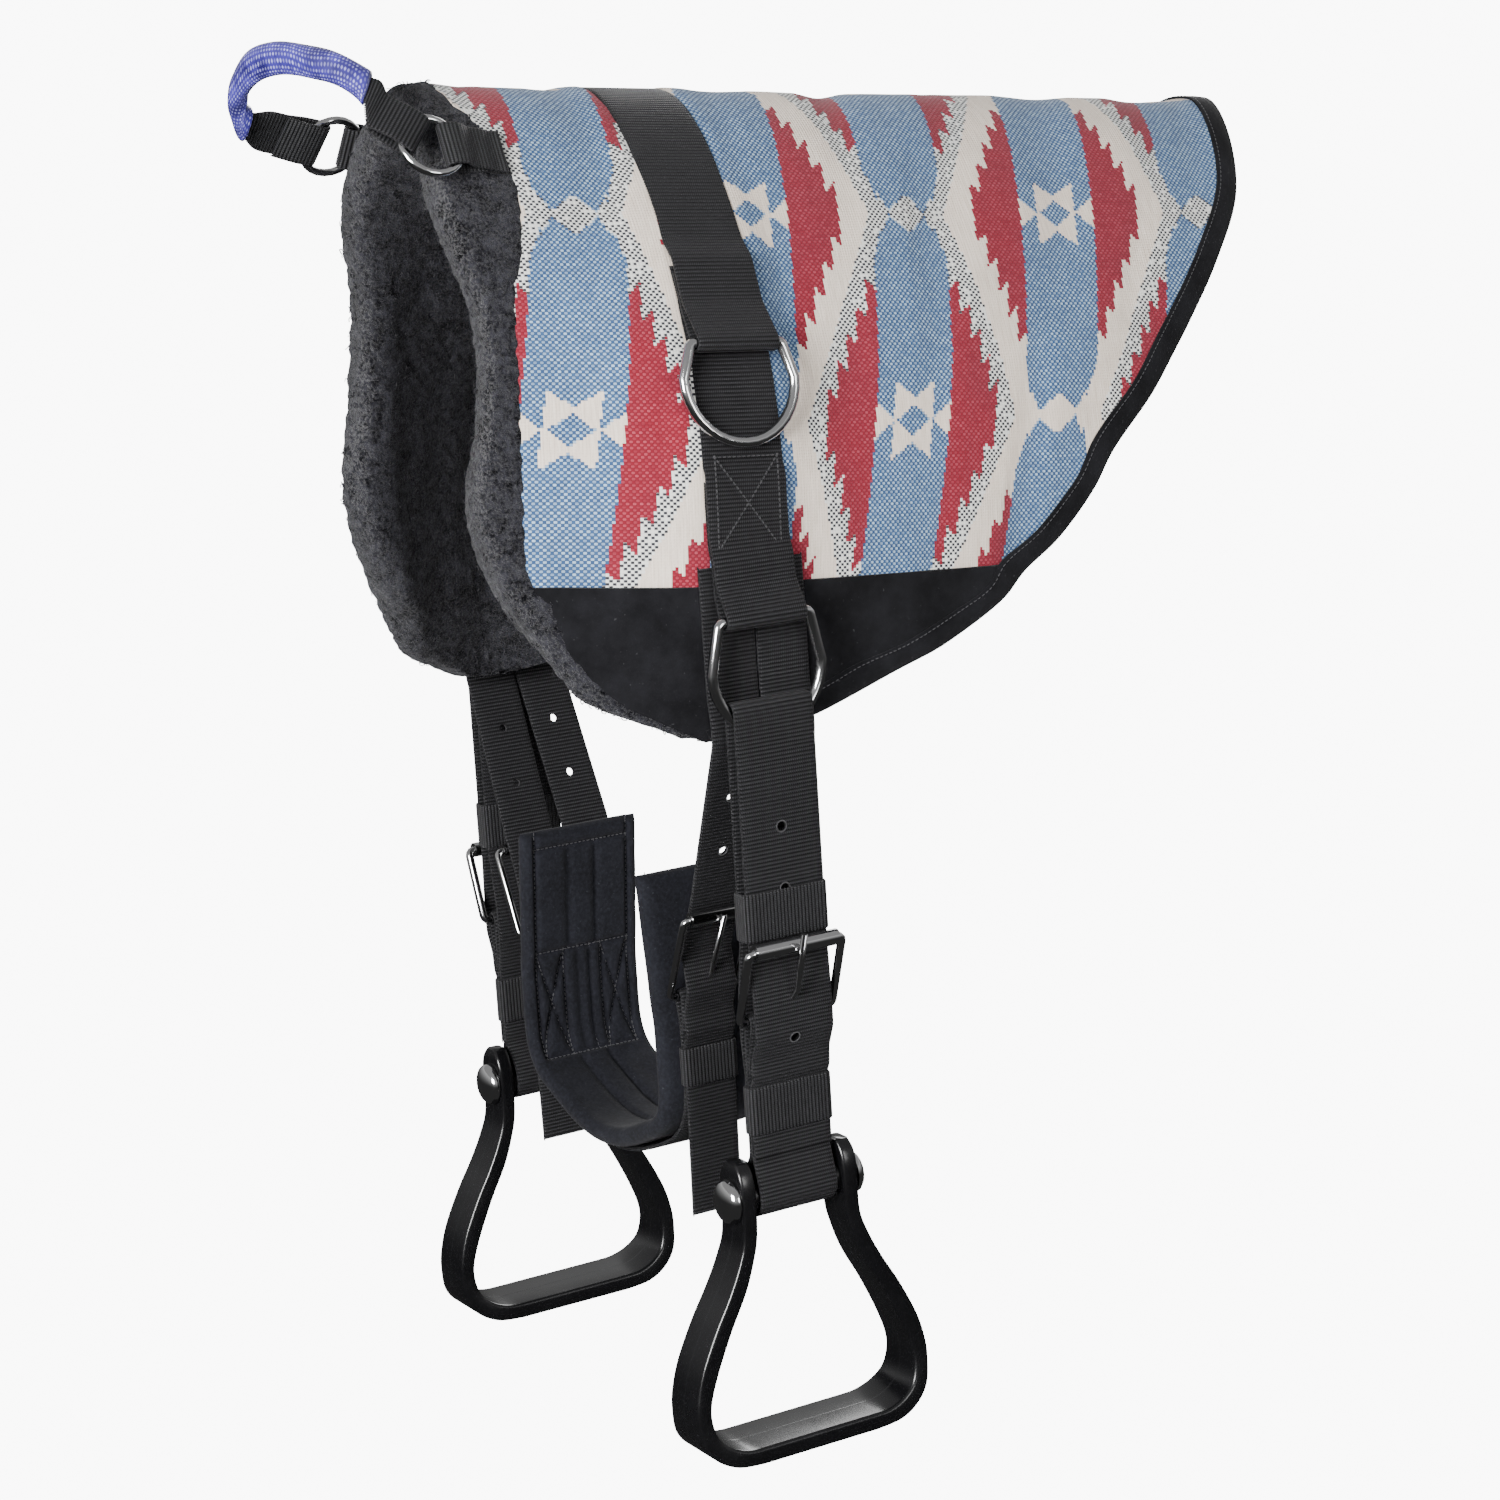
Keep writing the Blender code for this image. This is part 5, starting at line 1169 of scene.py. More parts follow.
class BarebackPadCloth(bpy.types.PropertyGroup):
    """Sizes and colours of the woven blanket."""

    pitch: FloatProperty(name="Column pitch", description="Distance between columns of stars",
                         default=106.5 * MM, unit="LENGTH", precision=4)
    half_period: FloatProperty(name="Half repeat", description="Drop from a star to the next lozenge",
                               default=123.5 * MM, unit="LENGTH", precision=4)
    star_level: FloatProperty(name="Star level", description="Arc from the ridge to the lower stars",
                              default=237 * MM, unit="LENGTH", precision=4)
    first_column: FloatProperty(name="First column", description="Place of a lower star's column",
                                default=-70 * MM, unit="LENGTH", precision=4)
    slant: FloatProperty(name="Slant", description="How much the columns lean down the flap", default=0.145)
    fan: FloatProperty(name="Fan", description="How much the columns close up, per metre", default=0.3)
    strip_half: FloatProperty(name="Strip", description="Half width of a blue strip", default=26.5 * MM,
                              unit="LENGTH", precision=4)
    tooth_width: FloatProperty(name="Tooth width", description="Width of a tooth of the red band",
                               default=6.6 * MM, unit="LENGTH", precision=4)
    tooth_height: FloatProperty(name="Tooth height", description="Height from tooth to tooth",
                                default=15.4 * MM, unit="LENGTH", precision=4)
    tooth_tip: FloatProperty(name="Tooth tip", description="Rise of a tooth's tip", default=6.5 * MM,
                             unit="LENGTH", precision=4)
    red_half: FloatProperty(name="Red half height", description="Half height of the red band",
                            default=75.5 * MM, unit="LENGTH", precision=4)
    teeth: IntProperty(name="Teeth", description="Teeth on each side of a star", default=5, min=1)
    border_high: FloatProperty(name="Border at stars", description="Edge of the grey at a lower star",
                               default=74 * MM, unit="LENGTH", precision=4)
    border_low: FloatProperty(name="Border at lozenges", description="Edge of the grey at a lozenge",
                              default=27 * MM, unit="LENGTH", precision=4)
    yarn: FloatProperty(name="Yarn", description="Width of a yarn", default=1.65 * MM, unit="LENGTH",
                        precision=4)
    blue: FloatVectorProperty(name="Blue", description="Blue yarn", subtype="COLOR",
                              default=(0.042, 0.100, 0.225))
    blue_shade: FloatVectorProperty(name="Dark blue", description="Darker blue yarn", subtype="COLOR",
                                    default=(0.022, 0.052, 0.125))
    blue_light: FloatVectorProperty(name="Light blue", description="Light yarn between the blue",
                                    subtype="COLOR", default=(0.38, 0.52, 0.68))
    # Painted shade in the gaps between the blue yarns.
    blue_gap_shade: FloatVectorProperty(name="Navy", description="Gaps of the blue", subtype="COLOR",
                              default=(0.005, 0.009, 0.026))
    red: FloatVectorProperty(name="Red", description="Red yarn", subtype="COLOR",
                             default=(0.20, 0.006, 0.018))
    red_light: FloatVectorProperty(name="Light red", description="Lighter red yarn", subtype="COLOR",
                                   default=(0.38, 0.05, 0.075))
    # Painted shade in the gaps between the red yarns.
    red_shade: FloatVectorProperty(name="Dark red", description="Under yarn of the red", subtype="COLOR",
                                   default=(0.045, 0.002, 0.006))
    cream: FloatVectorProperty(name="Cream", description="Satin threads", subtype="COLOR",
                               default=(0.80, 0.71, 0.62))
    cream_shade: FloatVectorProperty(name="Cream shade", description="Shade between satin threads",
                                     subtype="COLOR", default=(0.62, 0.52, 0.43))
    white: FloatVectorProperty(name="White", description="White yarn", subtype="COLOR",
                               default=(0.72, 0.72, 0.69))
    # Black yarn dots, and also the painted shade in the gaps of the grey.
    dark: FloatVectorProperty(name="Black", description="Black yarn", subtype="COLOR",
                              default=(0.03, 0.03, 0.035))


class BarebackPadWebs(bpy.types.PropertyGroup):
    """Sizes and colours of webbing, thread and sleeve."""

    rib: FloatProperty(name="Rib", description="Pitch of the ribs", default=2.2 * MM, unit="LENGTH",
                       precision=4)
    # On the webbing, this colour is painted on the lit rib tops, and the shade below is painted between the
    # ribs.
    colour: FloatVectorProperty(name="Web", description="Top of the ribs", subtype="COLOR",
                                default=(0.034, 0.034, 0.038))
    shade: FloatVectorProperty(name="Web shade", description="Between the ribs", subtype="COLOR",
                               default=(0.0009, 0.0009, 0.0011))
    thread: FloatVectorProperty(name="Thread", description="Sewing thread", subtype="COLOR",
                                default=(0.06, 0.06, 0.066))
    sleeve_deep: FloatVectorProperty(name="Sleeve", description="Deep colour of the sleeve",
                                     subtype="COLOR", default=(0.012, 0.008, 0.085))
    sleeve_light: FloatVectorProperty(name="Sleeve light", description="Light colour of the sleeve",
                                      subtype="COLOR", default=(0.045, 0.034, 0.27))
    # Colour of the painted glints on the sleeve's raised threads.
    sleeve_bright: FloatVectorProperty(name="Sleeve bright", description="Threads that catch the light",
                                       subtype="COLOR", default=(0.42, 0.42, 0.88))


class BarebackPadMetal(bpy.types.PropertyGroup):
    """Finish of the rings and buckles."""

    colour: FloatVectorProperty(name="Nickel", description="Colour of the plating", subtype="COLOR",
                                default=(0.60, 0.60, 0.61))
    roughness: FloatProperty(name="Polish", description="Roughness of the plating", default=0.07, min=0.0,
                             max=1.0)
    stirrup_middle: FloatProperty(name="Parting line",
                                  description="Middle of a stirrup's band from the centre",
                                  default=STIRRUP_MIDDLE, unit="LENGTH", precision=4)


class BarebackPadStage(bpy.types.PropertyGroup):
    """The studio."""

    floor: FloatProperty(name="Floor", description="Level of the floor", default=-1.25, unit="LENGTH")
    reach: FloatProperty(name="Reach", description="Radius of the level floor", default=4.0, unit="LENGTH")
    bend: FloatProperty(name="Bend", description="Radius of the bend into the wall", default=3.0,
                        unit="LENGTH")
    wall: FloatProperty(name="Wall", description="Height of the wall", default=4.0, unit="LENGTH")
    backdrop: FloatProperty(name="Backdrop", description="Brightness of the white backdrop", default=9.5,
                            min=0.0)
    air: FloatProperty(name="Air", description="Strength of the even light", default=0.4, min=0.0)
    key: FloatProperty(name="Key", description="Power of the key light in watts", default=205.0, min=0.0)
    fill: FloatProperty(name="Fill", description="Power of the fill light in watts", default=22.0, min=0.0)
    lens: FloatProperty(name="Lens", description="Focal length in millimetres", default=82.97)
    azimuth: FloatProperty(name="Azimuth", description="Direction of the view", default=math.radians(59.4),
                           subtype="ANGLE")
    elevation: FloatProperty(name="Elevation", description="Height of the view",
                             default=math.radians(11.77), subtype="ANGLE")
    roll: FloatProperty(name="Roll", description="Turn of the picture", default=math.radians(-3.61),
                        subtype="ANGLE")
    place: FloatVectorProperty(name="Camera", description="Place of the camera", subtype="TRANSLATION",
                               default=(1.725, -0.942, 0.057))


# Pieces

def rolling(x, y, seed):
    """Smooth noise from 0 to 1 at a place."""
    return noise.noise(Vector((x, y, seed))) * 0.5 + 0.5


def cover_lift(arc, along, front, rear):
    """The padding's soft hollows, which only ever go inwards."""
    soft = rolling(arc * 11, along * 11, 2.0)
    small = rolling(arc * 30, along * 30, 7.0)
    fold = noise.noise(Vector((arc * 5 - along * 7, along * 26 + arc * 9, 5.0)))
    beside_web = smooth_share((abs(along) - WEB_SHADOW) / WEB_SHADOW_FADE)
    edge = smooth_share((rear - along) / REAR_FADE) * smooth_share((along - front) / FRONT_FADE)
    under_web = smooth_share((PRESSED_HALF - abs(along)) / PRESSED_FADE)
    under_web *= smooth_share((PRESSED_ARC - abs(arc)) / PRESSED_ARC_FADE)
    hollow = soft * SOFT_DEPTH + small * SMALL_DEPTH + max(fold, 0.0) * FOLD_DEPTH
    return -hollow * edge * (0.1 + 0.9 * beside_web) - PRESSED_DEPTH * under_web


class BAREBACKPAD_OT_cover(bpy.types.Operator):
    """Weave the blanket cover over the foam"""

    bl_idname = "bareback_pad.cover"
    bl_label = "Woven cover"

    def execute(self, context):
        rows, places = [], []
        count, across = 132, 110
        for i in range(count + 1):
            arc = (2 * i / count - 1) * (SEAM_ARC - SEAM_GAP)
            _, front, rear = edges_at(arc)
            row, place = [], []
            for j in range(across + 1):
                pucker = abs(math.sin(math.pi * arc / PUCKER_PITCH)) * max(1 - j / 3, 0.0)
                along = front + (rear - front) * j / across + PUCKER_DEPTH * pucker
                lift = cover_lift(arc, along, front, rear) - PUCKER_SINK * pucker
                row.append(pad_point(arc, along, lift))
                place.append((along, arc))
            rows.append(row)
            places.append(place)
        mesh = with_thickness(grid_mesh("cover_look", rows, places), CLOTH_THICK)
        piece = new_object("cover_look", mesh, material_named("woven_blanket"), "pad", "woven_cloth",
                           "woven_cover", "foam_core", smooth=50)
        return {"FINISHED"}


class BAREBACKPAD_OT_suede(bpy.types.Operator):
    """Lay the suede panels and bind the rear edge"""

    bl_idname = "bareback_pad.suede"
    bl_label = "Suede panels and binding"

    def execute(self, context):
        suede = material_named("black_suede")
        for side, sign in SIDES:
            rows, places = [], []
            top = SEAM_ARC + SEAM_GAP
            for i in range(31):
                arc = top + (FLAP_ARC - top) * i / 30
                _, front, rear = edges_at(arc)
                row, place = [], []
                for j in range(71):
                    along = front + (rear - front) * j / 70
                    row.append(pad_point(sign * arc, along, -SUEDE_SINK * rolling(arc * 25, j * 0.12, 4.0)))
                    place.append((along, arc))
                rows.append(row)
                places.append(place)
            if sign < 0:
                rows.reverse()
                places.reverse()
            mesh = with_thickness(grid_mesh("suede_look_" + side, rows, places), CLOTH_THICK)
            piece = new_object("suede_look_" + side, mesh, suede, "pad", "suede", "suede_panel_" + side,
                               smooth=50)
            stitched("suede_stitches_" + side, self.seams(sign), "suede", 3.4 * MM, 0.45 * MM)
        self.bind(suede)
        return {"FINISHED"}

    def seams(self, sign):
        """Two welts down a panel's front edge and the seam along its top."""
        seams = []
        for inset in WELT_INSETS:
            welt = []
            for i in range(60):
                arc = SEAM_ARC + inset / 2 + (FLAP_ARC - SEAM_ARC - 14 * MM - inset) * i / 59
                along = edges_at(arc)[1] + inset
                welt.append((pad_point(sign * arc, along, STITCH_LIFT), surface_out(sign * arc, along)))
            seams.append(welt)
        _, front, rear = edges_at(SEAM_ARC)
        arc = sign * (SEAM_ARC + 3 * MM)
        seam = []
        for i in range(90):
            along = front + 6 * MM + (rear - front - 24 * MM) * i / 89
            seam.append((pad_point(arc, along, STITCH_LIFT), surface_out(arc, along)))
        return seams + [seam]

    def bind(self, suede):
        """The binding runs round the rear edge from tip to tip."""
        rows, places, line = [], [], []
        count, step = 260, 4 * MM
        for i in range(count + 1):
            arc = (2 * i / count - 1) * FLAP_ARC
            _, front, rear = edges_at(arc)
            low, high = max(arc - step, -FLAP_ARC), min(arc + step, FLAP_ARC)
            spread = math.hypot(1, (edges_at(high)[2] - edges_at(low)[2]) / (high - low))
            spread = min(spread, SPREAD_LIMIT_SHARE)
            thin = edge_share(arc, 1.0)
            deep = -COVER_THICK - FOAM_THICK * thin - FLEECE_THICK * thin
            rim = rear + 0.6 * MM * spread
            width = min(BINDING_WIDTH * spread, (rim - front) * 0.8)
            edge = rim + BINDING_THICK * spread
            lift, thick = BINDING_LIFT, BINDING_THICK
            outline = [(rim - width, lift), (rim - width, lift + 0.8 * thick),
                       (rim - width * 0.93, lift + thick), (rim - width * 0.4, lift + thick * 1.1),
                       (rim, lift + thick * 0.8), (edge, lift * 0.2), (edge, deep * 0.35),
                       (edge, deep * 0.7), (rim + 0.6 * (edge - rim), deep), (rim, deep), (rim, deep * 0.5),
                       (rim, 0.0), (rim - 0.3 * MM, lift)]
            rows.append([pad_point(arc, along, rise) for along, rise in outline])
            row = [(arc, along) for along, rise in outline]
            places.append(row + row[:1])
            line.append((pad_point(arc, rim - width * 0.84, lift + thick), surface_out(arc, rim)))
        mesh = tube_mesh("binding_look", rows, places)
        new_object("binding_look", mesh, suede, "pad", "suede", "edge_binding", smooth=50)
        stitched("binding_stitches", [line], "suede", 3.2 * MM, 0.35 * MM)


class BAREBACKPAD_OT_lining(bpy.types.Operator):
    """Line the pad with fleece that rolls round the front edge"""

    bl_idname = "bareback_pad.lining"
    bl_label = "Fleece lining"

    def execute(self, context):
        material = material_named("charcoal_fleece")
        rows, places = [], []
        count = 200
        for i in range(count + 1):
            arc = (2 * i / count - 1) * FLAP_ARC
            outline = self.outline(arc)
            rows.append([pad_point(arc, along, rise) for along, rise in outline])
            places.append([(along, arc) for along, rise in outline + outline[:1]])
        mesh = tube_mesh("lining_look", rows, places)
        piece = subdivided(new_object("lining_look", mesh, material, "pad", "fleece", "fleece_lining"))
        applied(piece)
        self.curl(piece.data)
        tufted("fleece_tufts", piece, material, "pad", "fleece")
        return {"FINISHED"}

    def outline(self, arc):
        """The lining's section on a row: under the pad, round the roll and back to the rear."""
        fleece, front, rear = edges_at(arc)
        roll = min(ROLL_DEPTH, ROLL_LIMIT_SHARE * (front - fleece))
        foam = fleece + roll
        padding = FOAM_THICK + FLEECE_THICK
        inner = 74
        outline = []
        for j in range(inner + 1):
            part = 1 - j / inner
            deep = -COVER_THICK - LINING_GAP - padding * edge_share(arc, part)
            outline.append((front + (rear - front) * part, deep))
        half = (2.2 * MM - deep) / 2
        outline.append(((front + foam) / 2, deep))
        for step in range(13):
            angle = math.pi * step / 12
            outline.append((foam - roll * math.sin(angle) ** 0.8, deep + half - half * math.cos(angle)))
        rim = edge_share(arc, 1.0) * padding
        return outline + [
            (front * 0.6 + foam * 0.4, 2.4 * MM), (front + 0.6 * MM, 2.2 * MM), (front + 2.4 * MM, 1.0 * MM),
            (front + 2.4 * MM, -4 * MM), ((front + rear) / 2, -COVER_THICK - 0.5 * rim),
            (rear - 1.2 * MM, -COVER_THICK - 0.3 * rim), (rear - 0.2 * MM, -COVER_THICK - 0.4 * rim),
            (rear, -COVER_THICK - 0.9 * rim)]

    def curl(self, mesh):
        """Matted curls and soft folds, deepest where the lining shows."""
        moved = []
        for corner in mesh.vertices:
            point, out = corner.co, corner.normal
            curls = noise.noise(point * 190) * 1.1 + noise.noise(point * 420) * 0.6
            folds = noise.noise(Vector((point.y * 34, point.x * 34, point.z * 6))) * 4.0
            inside = smooth_share(-out.x * math.copysign(1, point.x) * 2)
            moved.append(point + out * (curls * 1.1 - 0.5 + folds * inside) * MM)
        for corner, point in zip(mesh.vertices, moved):
            corner.co = point


def tufted(name, piece, material, body, slot):
    """Tufts over the parts of the lining that show."""
    bm = bmesh.new()
    bm.from_mesh(piece.data)
    hidden = [face for face in bm.faces if fleece_hidden(face)]
    bmesh.ops.delete(bm, geom=hidden, context="FACES")
    made = grown(name, mesh_from_bmesh(bm, name), tuft_tree(), {"Material": material})
    return new_object(name, made, material, body, slot)


def fleece_hidden(face):
    """True for the lining's faces that lie against the foam, or above the ridge's inside."""
    middle = face.calc_center_median()
    return middle.y > TUFT_LIMIT or face.normal.x * math.copysign(1, middle.x) > 0.6


def dressed_web(node, selvage, thick=WEB_THICK, passes=0):
    """A CAD web woven anew, with its selvage."""
    _, stations = webbing(node, web_edges(node, FORE), thick, material_named("ribbed_webbing"), passes)
    edge_threads(selvage, stations, body_of(node))


def punched_web(node, sign, levels, radius, depth, rims):
    """A standing web with its row of holes, their burnt rims and its selvage."""
    piece, stations = webbing(node, web_edges(node, FORE), WEB_THICK, material_named("ribbed_webbing"))
    places = [standing_place(stations, level, sign) for level in levels]
    pierced(piece, places, radius, depth)
    burnt_rims(rims, places, radius, body_of(node))
    edge_threads(node + "_selvage", stations, body_of(node))


def edge_threads(name, stations, body):
    """Selvage cords along both edges of a web."""
    lines = []
    for side in (0, 1):
        line = []
        for low, high in stations:
            across = (high - low).normalized() * (1 if side else -1)
            line.append(((high if side else low) - across * SELVAGE_INSET, across))
        lines.append(line)
    return sewn(name, lines, material_named("selvage_yarn"), body, "webbing", pitch=1.5 * MM,
                thread=0.62 * MM, fill=1.7, slant=0.5)


class BAREBACKPAD_OT_surcingle(bpy.types.Operator):
    """Lay the surcingle over the pad and sew the ring webs"""

    bl_idname = "bareback_pad.surcingle"
    bl_label = "Surcingle and ring webs"

    def execute(self, context):
        dressed_web("surcingle_web", "surcingle_selvage", WIDE_WEB_THICK, SURCINGLE_PASSES)
        for side, sign in SIDES:
            dressed_web("ring_web_" + side, "ring_web_selvage_" + side, WIDE_WEB_THICK)
            stitched("crossed_box_" + side, self.crossed_box(sign), "webbing", 3.0 * MM, 0.42 * MM)
        return {"FINISHED"}

    def crossed_box(self, sign):
        """The box and cross that sew the ring web's patch down."""
        low, high = (arc_at(drop) for drop in BOX_DROPS)
        lift = WEB_GAP + 2 * (WIDE_WEB_THICK + WEB_GAP) + 0.1 * MM
        corners = [(low, -BOX_HALF), (low, BOX_HALF), (high, BOX_HALF), (high, -BOX_HALF)]
        lines = []
        for run in (corners + corners[:1], corners[0::2], corners[1::2]):
            line = []
            for start, end in zip(run, run[1:]):
                for step in range(13):
                    t = step / 12
                    arc = start[0] + (end[0] - start[0]) * t
                    along = start[1] + (end[1] - start[1]) * t
                    line.append((pad_point(sign * arc, 0, lift) + ALONG * along, surface_out(sign * arc, 0)))
            lines.append(line)
        return lines


def standing_place(stations, level, sign):
    """Middle and outward direction of the outermost ply of a web at a level."""
    best = None
    for index in range(1, len(stations) - 1):
        middle = (stations[index][0] + stations[index][1]) / 2
        if abs(middle.z - level) < LEVEL_REACH and (best is None or middle.x * sign > best[0].x * sign):
            travel = sum(stations[index + 1], Vector()) - sum(stations[index - 1], Vector())
            way = travel.cross(stations[index][1] - stations[index][0]).normalized()
            best = (middle, way * math.copysign(1, way.x * sign))
    return best


def pierced(piece, places, radius, depth):
    """Punch round holes through a web."""
    bm = bmesh.new()
    for middle, way in places:
        turn = way.to_track_quat("Z", "Y").to_matrix().to_4x4()
        bmesh.ops.create_cone(bm, cap_ends=True, segments=18, radius1=radius, radius2=radius, depth=depth,
                              matrix=Matrix.Translation(middle) @ turn)
    pegs = linked("pegs", mesh_from_bmesh(bm, "pegs"))
    punch = piece.modifiers.new("punch", "BOOLEAN")
    punch.operation = "DIFFERENCE"
    punch.solver = "EXACT"
    punch.object = pegs
    bpy.context.view_layer.update()
    applied(piece)
    mesh = pegs.data
    bpy.data.objects.remove(pegs)
    bpy.data.meshes.remove(mesh)


def burnt_rims(name, places, radius, body):
    """The melted edge round each hole."""
    bm = bmesh.new()
    around, sides = 20, 6
    for middle, way in places:
        turn = Matrix.Translation(middle + way * RIM_LIFT) @ way.to_track_quat("Z", "Y").to_matrix().to_4x4()
        rows = []
        for k in range(around):
            round_angle = math.tau * k / around
            ring = []
            for step in range(sides):
                angle = math.tau * step / sides
                reach = radius + 0.1 * MM + RIM_RADIUS * math.cos(angle)
                ring.append(bm.verts.new(turn @ Vector((reach * math.cos(round_angle),
                                                        reach * math.sin(round_angle),
                                                        0.3 * MM * math.sin(angle)))))
            rows.append(ring)
        for k in range(around):
            for step in range(sides):
                n, m = (k + 1) % around, (step + 1) % sides
                bm.faces.new((rows[k][step], rows[n][step], rows[n][m], rows[k][m]))
    bmesh.ops.recalc_face_normals(bm, faces=bm.faces[:])
    return new_object(name, mesh_from_bmesh(bm, name), material_named("sewing_thread"), body, "webbing")


class BAREBACKPAD_OT_straps(bpy.types.Operator):
    """Hang the stirrup straps with their keepers"""

    bl_idname = "bareback_pad.straps"
    bl_label = "Stirrup straps"

    def execute(self, context):
        levels = [STRAP_TOP_Z - drop for drop in STRAP_HOLE_DROPS]
        for side, sign in SIDES:
            punched_web("stirrup_strap_" + side, sign, levels, STRAP_HOLE, STRAP_PUNCH_DEPTH,
                        "strap_hole_rims_" + side)
            loop_web("strap_keeper_top_" + side)
            loop_web("strap_keeper_low_" + side)
        return {"FINISHED"}


class BAREBACKPAD_OT_girth(bpy.types.Operator):
    """Quilt the girth and hang it on its billets"""

    bl_idname = "bareback_pad.girth"
    bl_label = "Girth and billets"

    def execute(self, context):
        levels = [PAD_EDGE_Z - drop for drop in BILLET_HOLE_DROPS]
        for side, sign in SIDES:
            for node in ("girth_billet_" + side, "spare_billet_" + side):
                punched_web(node, sign, levels, BILLET_HOLE, BILLET_PUNCH_DEPTH, node + "_hole_rims")
            loop_web("girth_keeper_" + side)
        dressed_web("girth_strap", "girth_strap_selvage")
        self.quilted()
        return {"FINISHED"}

    def quilted(self):
        """The U-shaped pad with its sewn channels, crosses and rolled edges."""
        side = [(GIRTH_REACH * x, GIRTH_TOP_Z - GIRTH_DEPTH * z) for x, z in GIRTH_PATH_SHARES]
        way, lengths = girth_way(smooth_line(side + [(-x, z) for x, z in reversed(side)], 6))
        whole = lengths[-1]
        seams = girth_seams(whole)
        rows, places = [], []
        for (point, out), along in zip(way, lengths):
            ends = min(along, whole - along)
            cap = math.sqrt(max(1 - max(1 - ends / GIRTH_END, 0.0) ** 2, 0.0)) * 0.94 + 0.06
            row, place = [], []
            for v, upper in girth_profile():
                edge = math.sqrt(max(1 - max((abs(v) - 0.84) / 0.16, 0.0) ** 2, 0.0)) * cap
                if upper:
                    near = min(seam_distance(along, v * GIRTH_HALF, seam) for seam in seams)
                    sunk = 0.42 * math.exp(-(near / QUILT_SEAM) ** 2) + 0.16 * math.exp(-near / QUILT_SWELL)
                    share = 0.5 + 0.5 * edge * (1 - sunk)
                else:
                    share = 0.5 - 0.5 * edge
                spot = Vector((point.x, GIRTH_Y + v * GIRTH_HALF, point.z))
                ripple = noise.noise(spot * 90) * QUILT_RIPPLE if upper else 0.0
                row.append(spot + out * ((1 - share) * GIRTH_PAD_THICK - min(ripple, 0.0)))
                place.append((along, v * GIRTH_HALF))
            rows.append(row)
            places.append(place + place[:1])
        mesh = tube_mesh("girth_pad_look", rows, places)
        piece = new_object("girth_pad_look", mesh, material_named("brushed_cotton"), "pad", "quilted_cotton",
                           "girth_pad")
        lines = []
        for (start_u, start_v), (end_u, end_v) in seams:
            count = max(int(math.hypot(end_u - start_u, end_v - start_v) / SEAM_STEP), 1)
            line = []
            for step in range(count + 1):
                u = start_u + (end_u - start_u) * step / count
                v = start_v + (end_v - start_v) * step / count
                index = min(range(len(lengths)), key=lambda k: abs(lengths[k] - u))
                point, out = way[index]
                line.append((Vector((point.x, GIRTH_Y + v, point.z)) + out * GIRTH_SEAM_DEPTH, -out))
            lines.append(line)
        stitched("girth_stitches", lines, "quilted_cotton", 2.8 * MM, 0.32 * MM)


def girth_way(line):
    """Points with their outward directions, and how far along each lies."""
    lengths = [0.0]
    for before, here in zip(line, line[1:]):
        lengths.append(lengths[-1] + math.dist(before, here))
    count = int(lengths[-1] / GIRTH_STEP)
    at = np.linspace(0, lengths[-1], count + 1)
    xs = np.interp(at, lengths, [point[0] for point in line])
    zs = np.interp(at, lengths, [point[1] for point in line])
    way = []
    for k in range(count + 1):
        low, high = max(k - 3, 0), min(k + 3, count)
        travel = Vector((xs[high] - xs[low], 0, zs[high] - zs[low])).normalized()
        way.append((Vector((xs[k], 0, zs[k])), Vector((-travel.z, 0, travel.x))))
    return way, list(at)


def girth_profile():
    """Places across the pad, over the quilted face and back under it."""
    over, under = 56, 20
    upper = [(math.sin(math.pi / 2 * (2 * k / over - 1)), True) for k in range(over + 1)]
    lower = [(math.sin(math.pi / 2 * (1 - 2 * k / under)), False) for k in range(1, under)]
    return upper + lower


def girth_seams(whole):
    """Seams as pairs of places: along the pad, and across it."""
    edge, mid, mid_low = 0.8 * GIRTH_HALF, 0.24 * GIRTH_HALF, 0.08 * GIRTH_HALF
    hem, cross, corner = 10 * MM, 76 * MM, 140 * MM
    half = []
    for v in (-edge, edge):
        half.append(((0, v), (corner, v)))
    for v in (-mid, mid):
        half.append(((hem, v), (cross, v)))
    for u in (hem, cross, corner):
        half.append(((u, -edge), (u, edge)))
    for v in (-mid * 1.35, -mid_low, mid_low * 1.6, mid * 1.35):
        half.append(((cross, v), (corner, v)))
    for low, high in ((-edge, -mid * 1.35), (mid * 1.35, edge)):
        half.append(((cross, low), (corner, high)))
        half.append(((cross, high), (corner, low)))
    seams = list(half)
    for start, end in half:
        seams.append(((whole - start[0], start[1]), (whole - end[0], end[1])))
    for v in (-mid, mid):
        seams.append(((corner, v), (whole - corner, v)))
    return seams


def seam_distance(u, v, seam):
    """How far a place lies from a seam."""
    (start_u, start_v), (end_u, end_v) = seam
    run_u, run_v = end_u - start_u, end_v - start_v
    share = ((u - start_u) * run_u + (v - start_v) * run_v) / (run_u * run_u + run_v * run_v)
    share = min(max(share, 0.0), 1.0)
    return math.hypot(u - start_u - run_u * share, v - start_v - run_v * share)


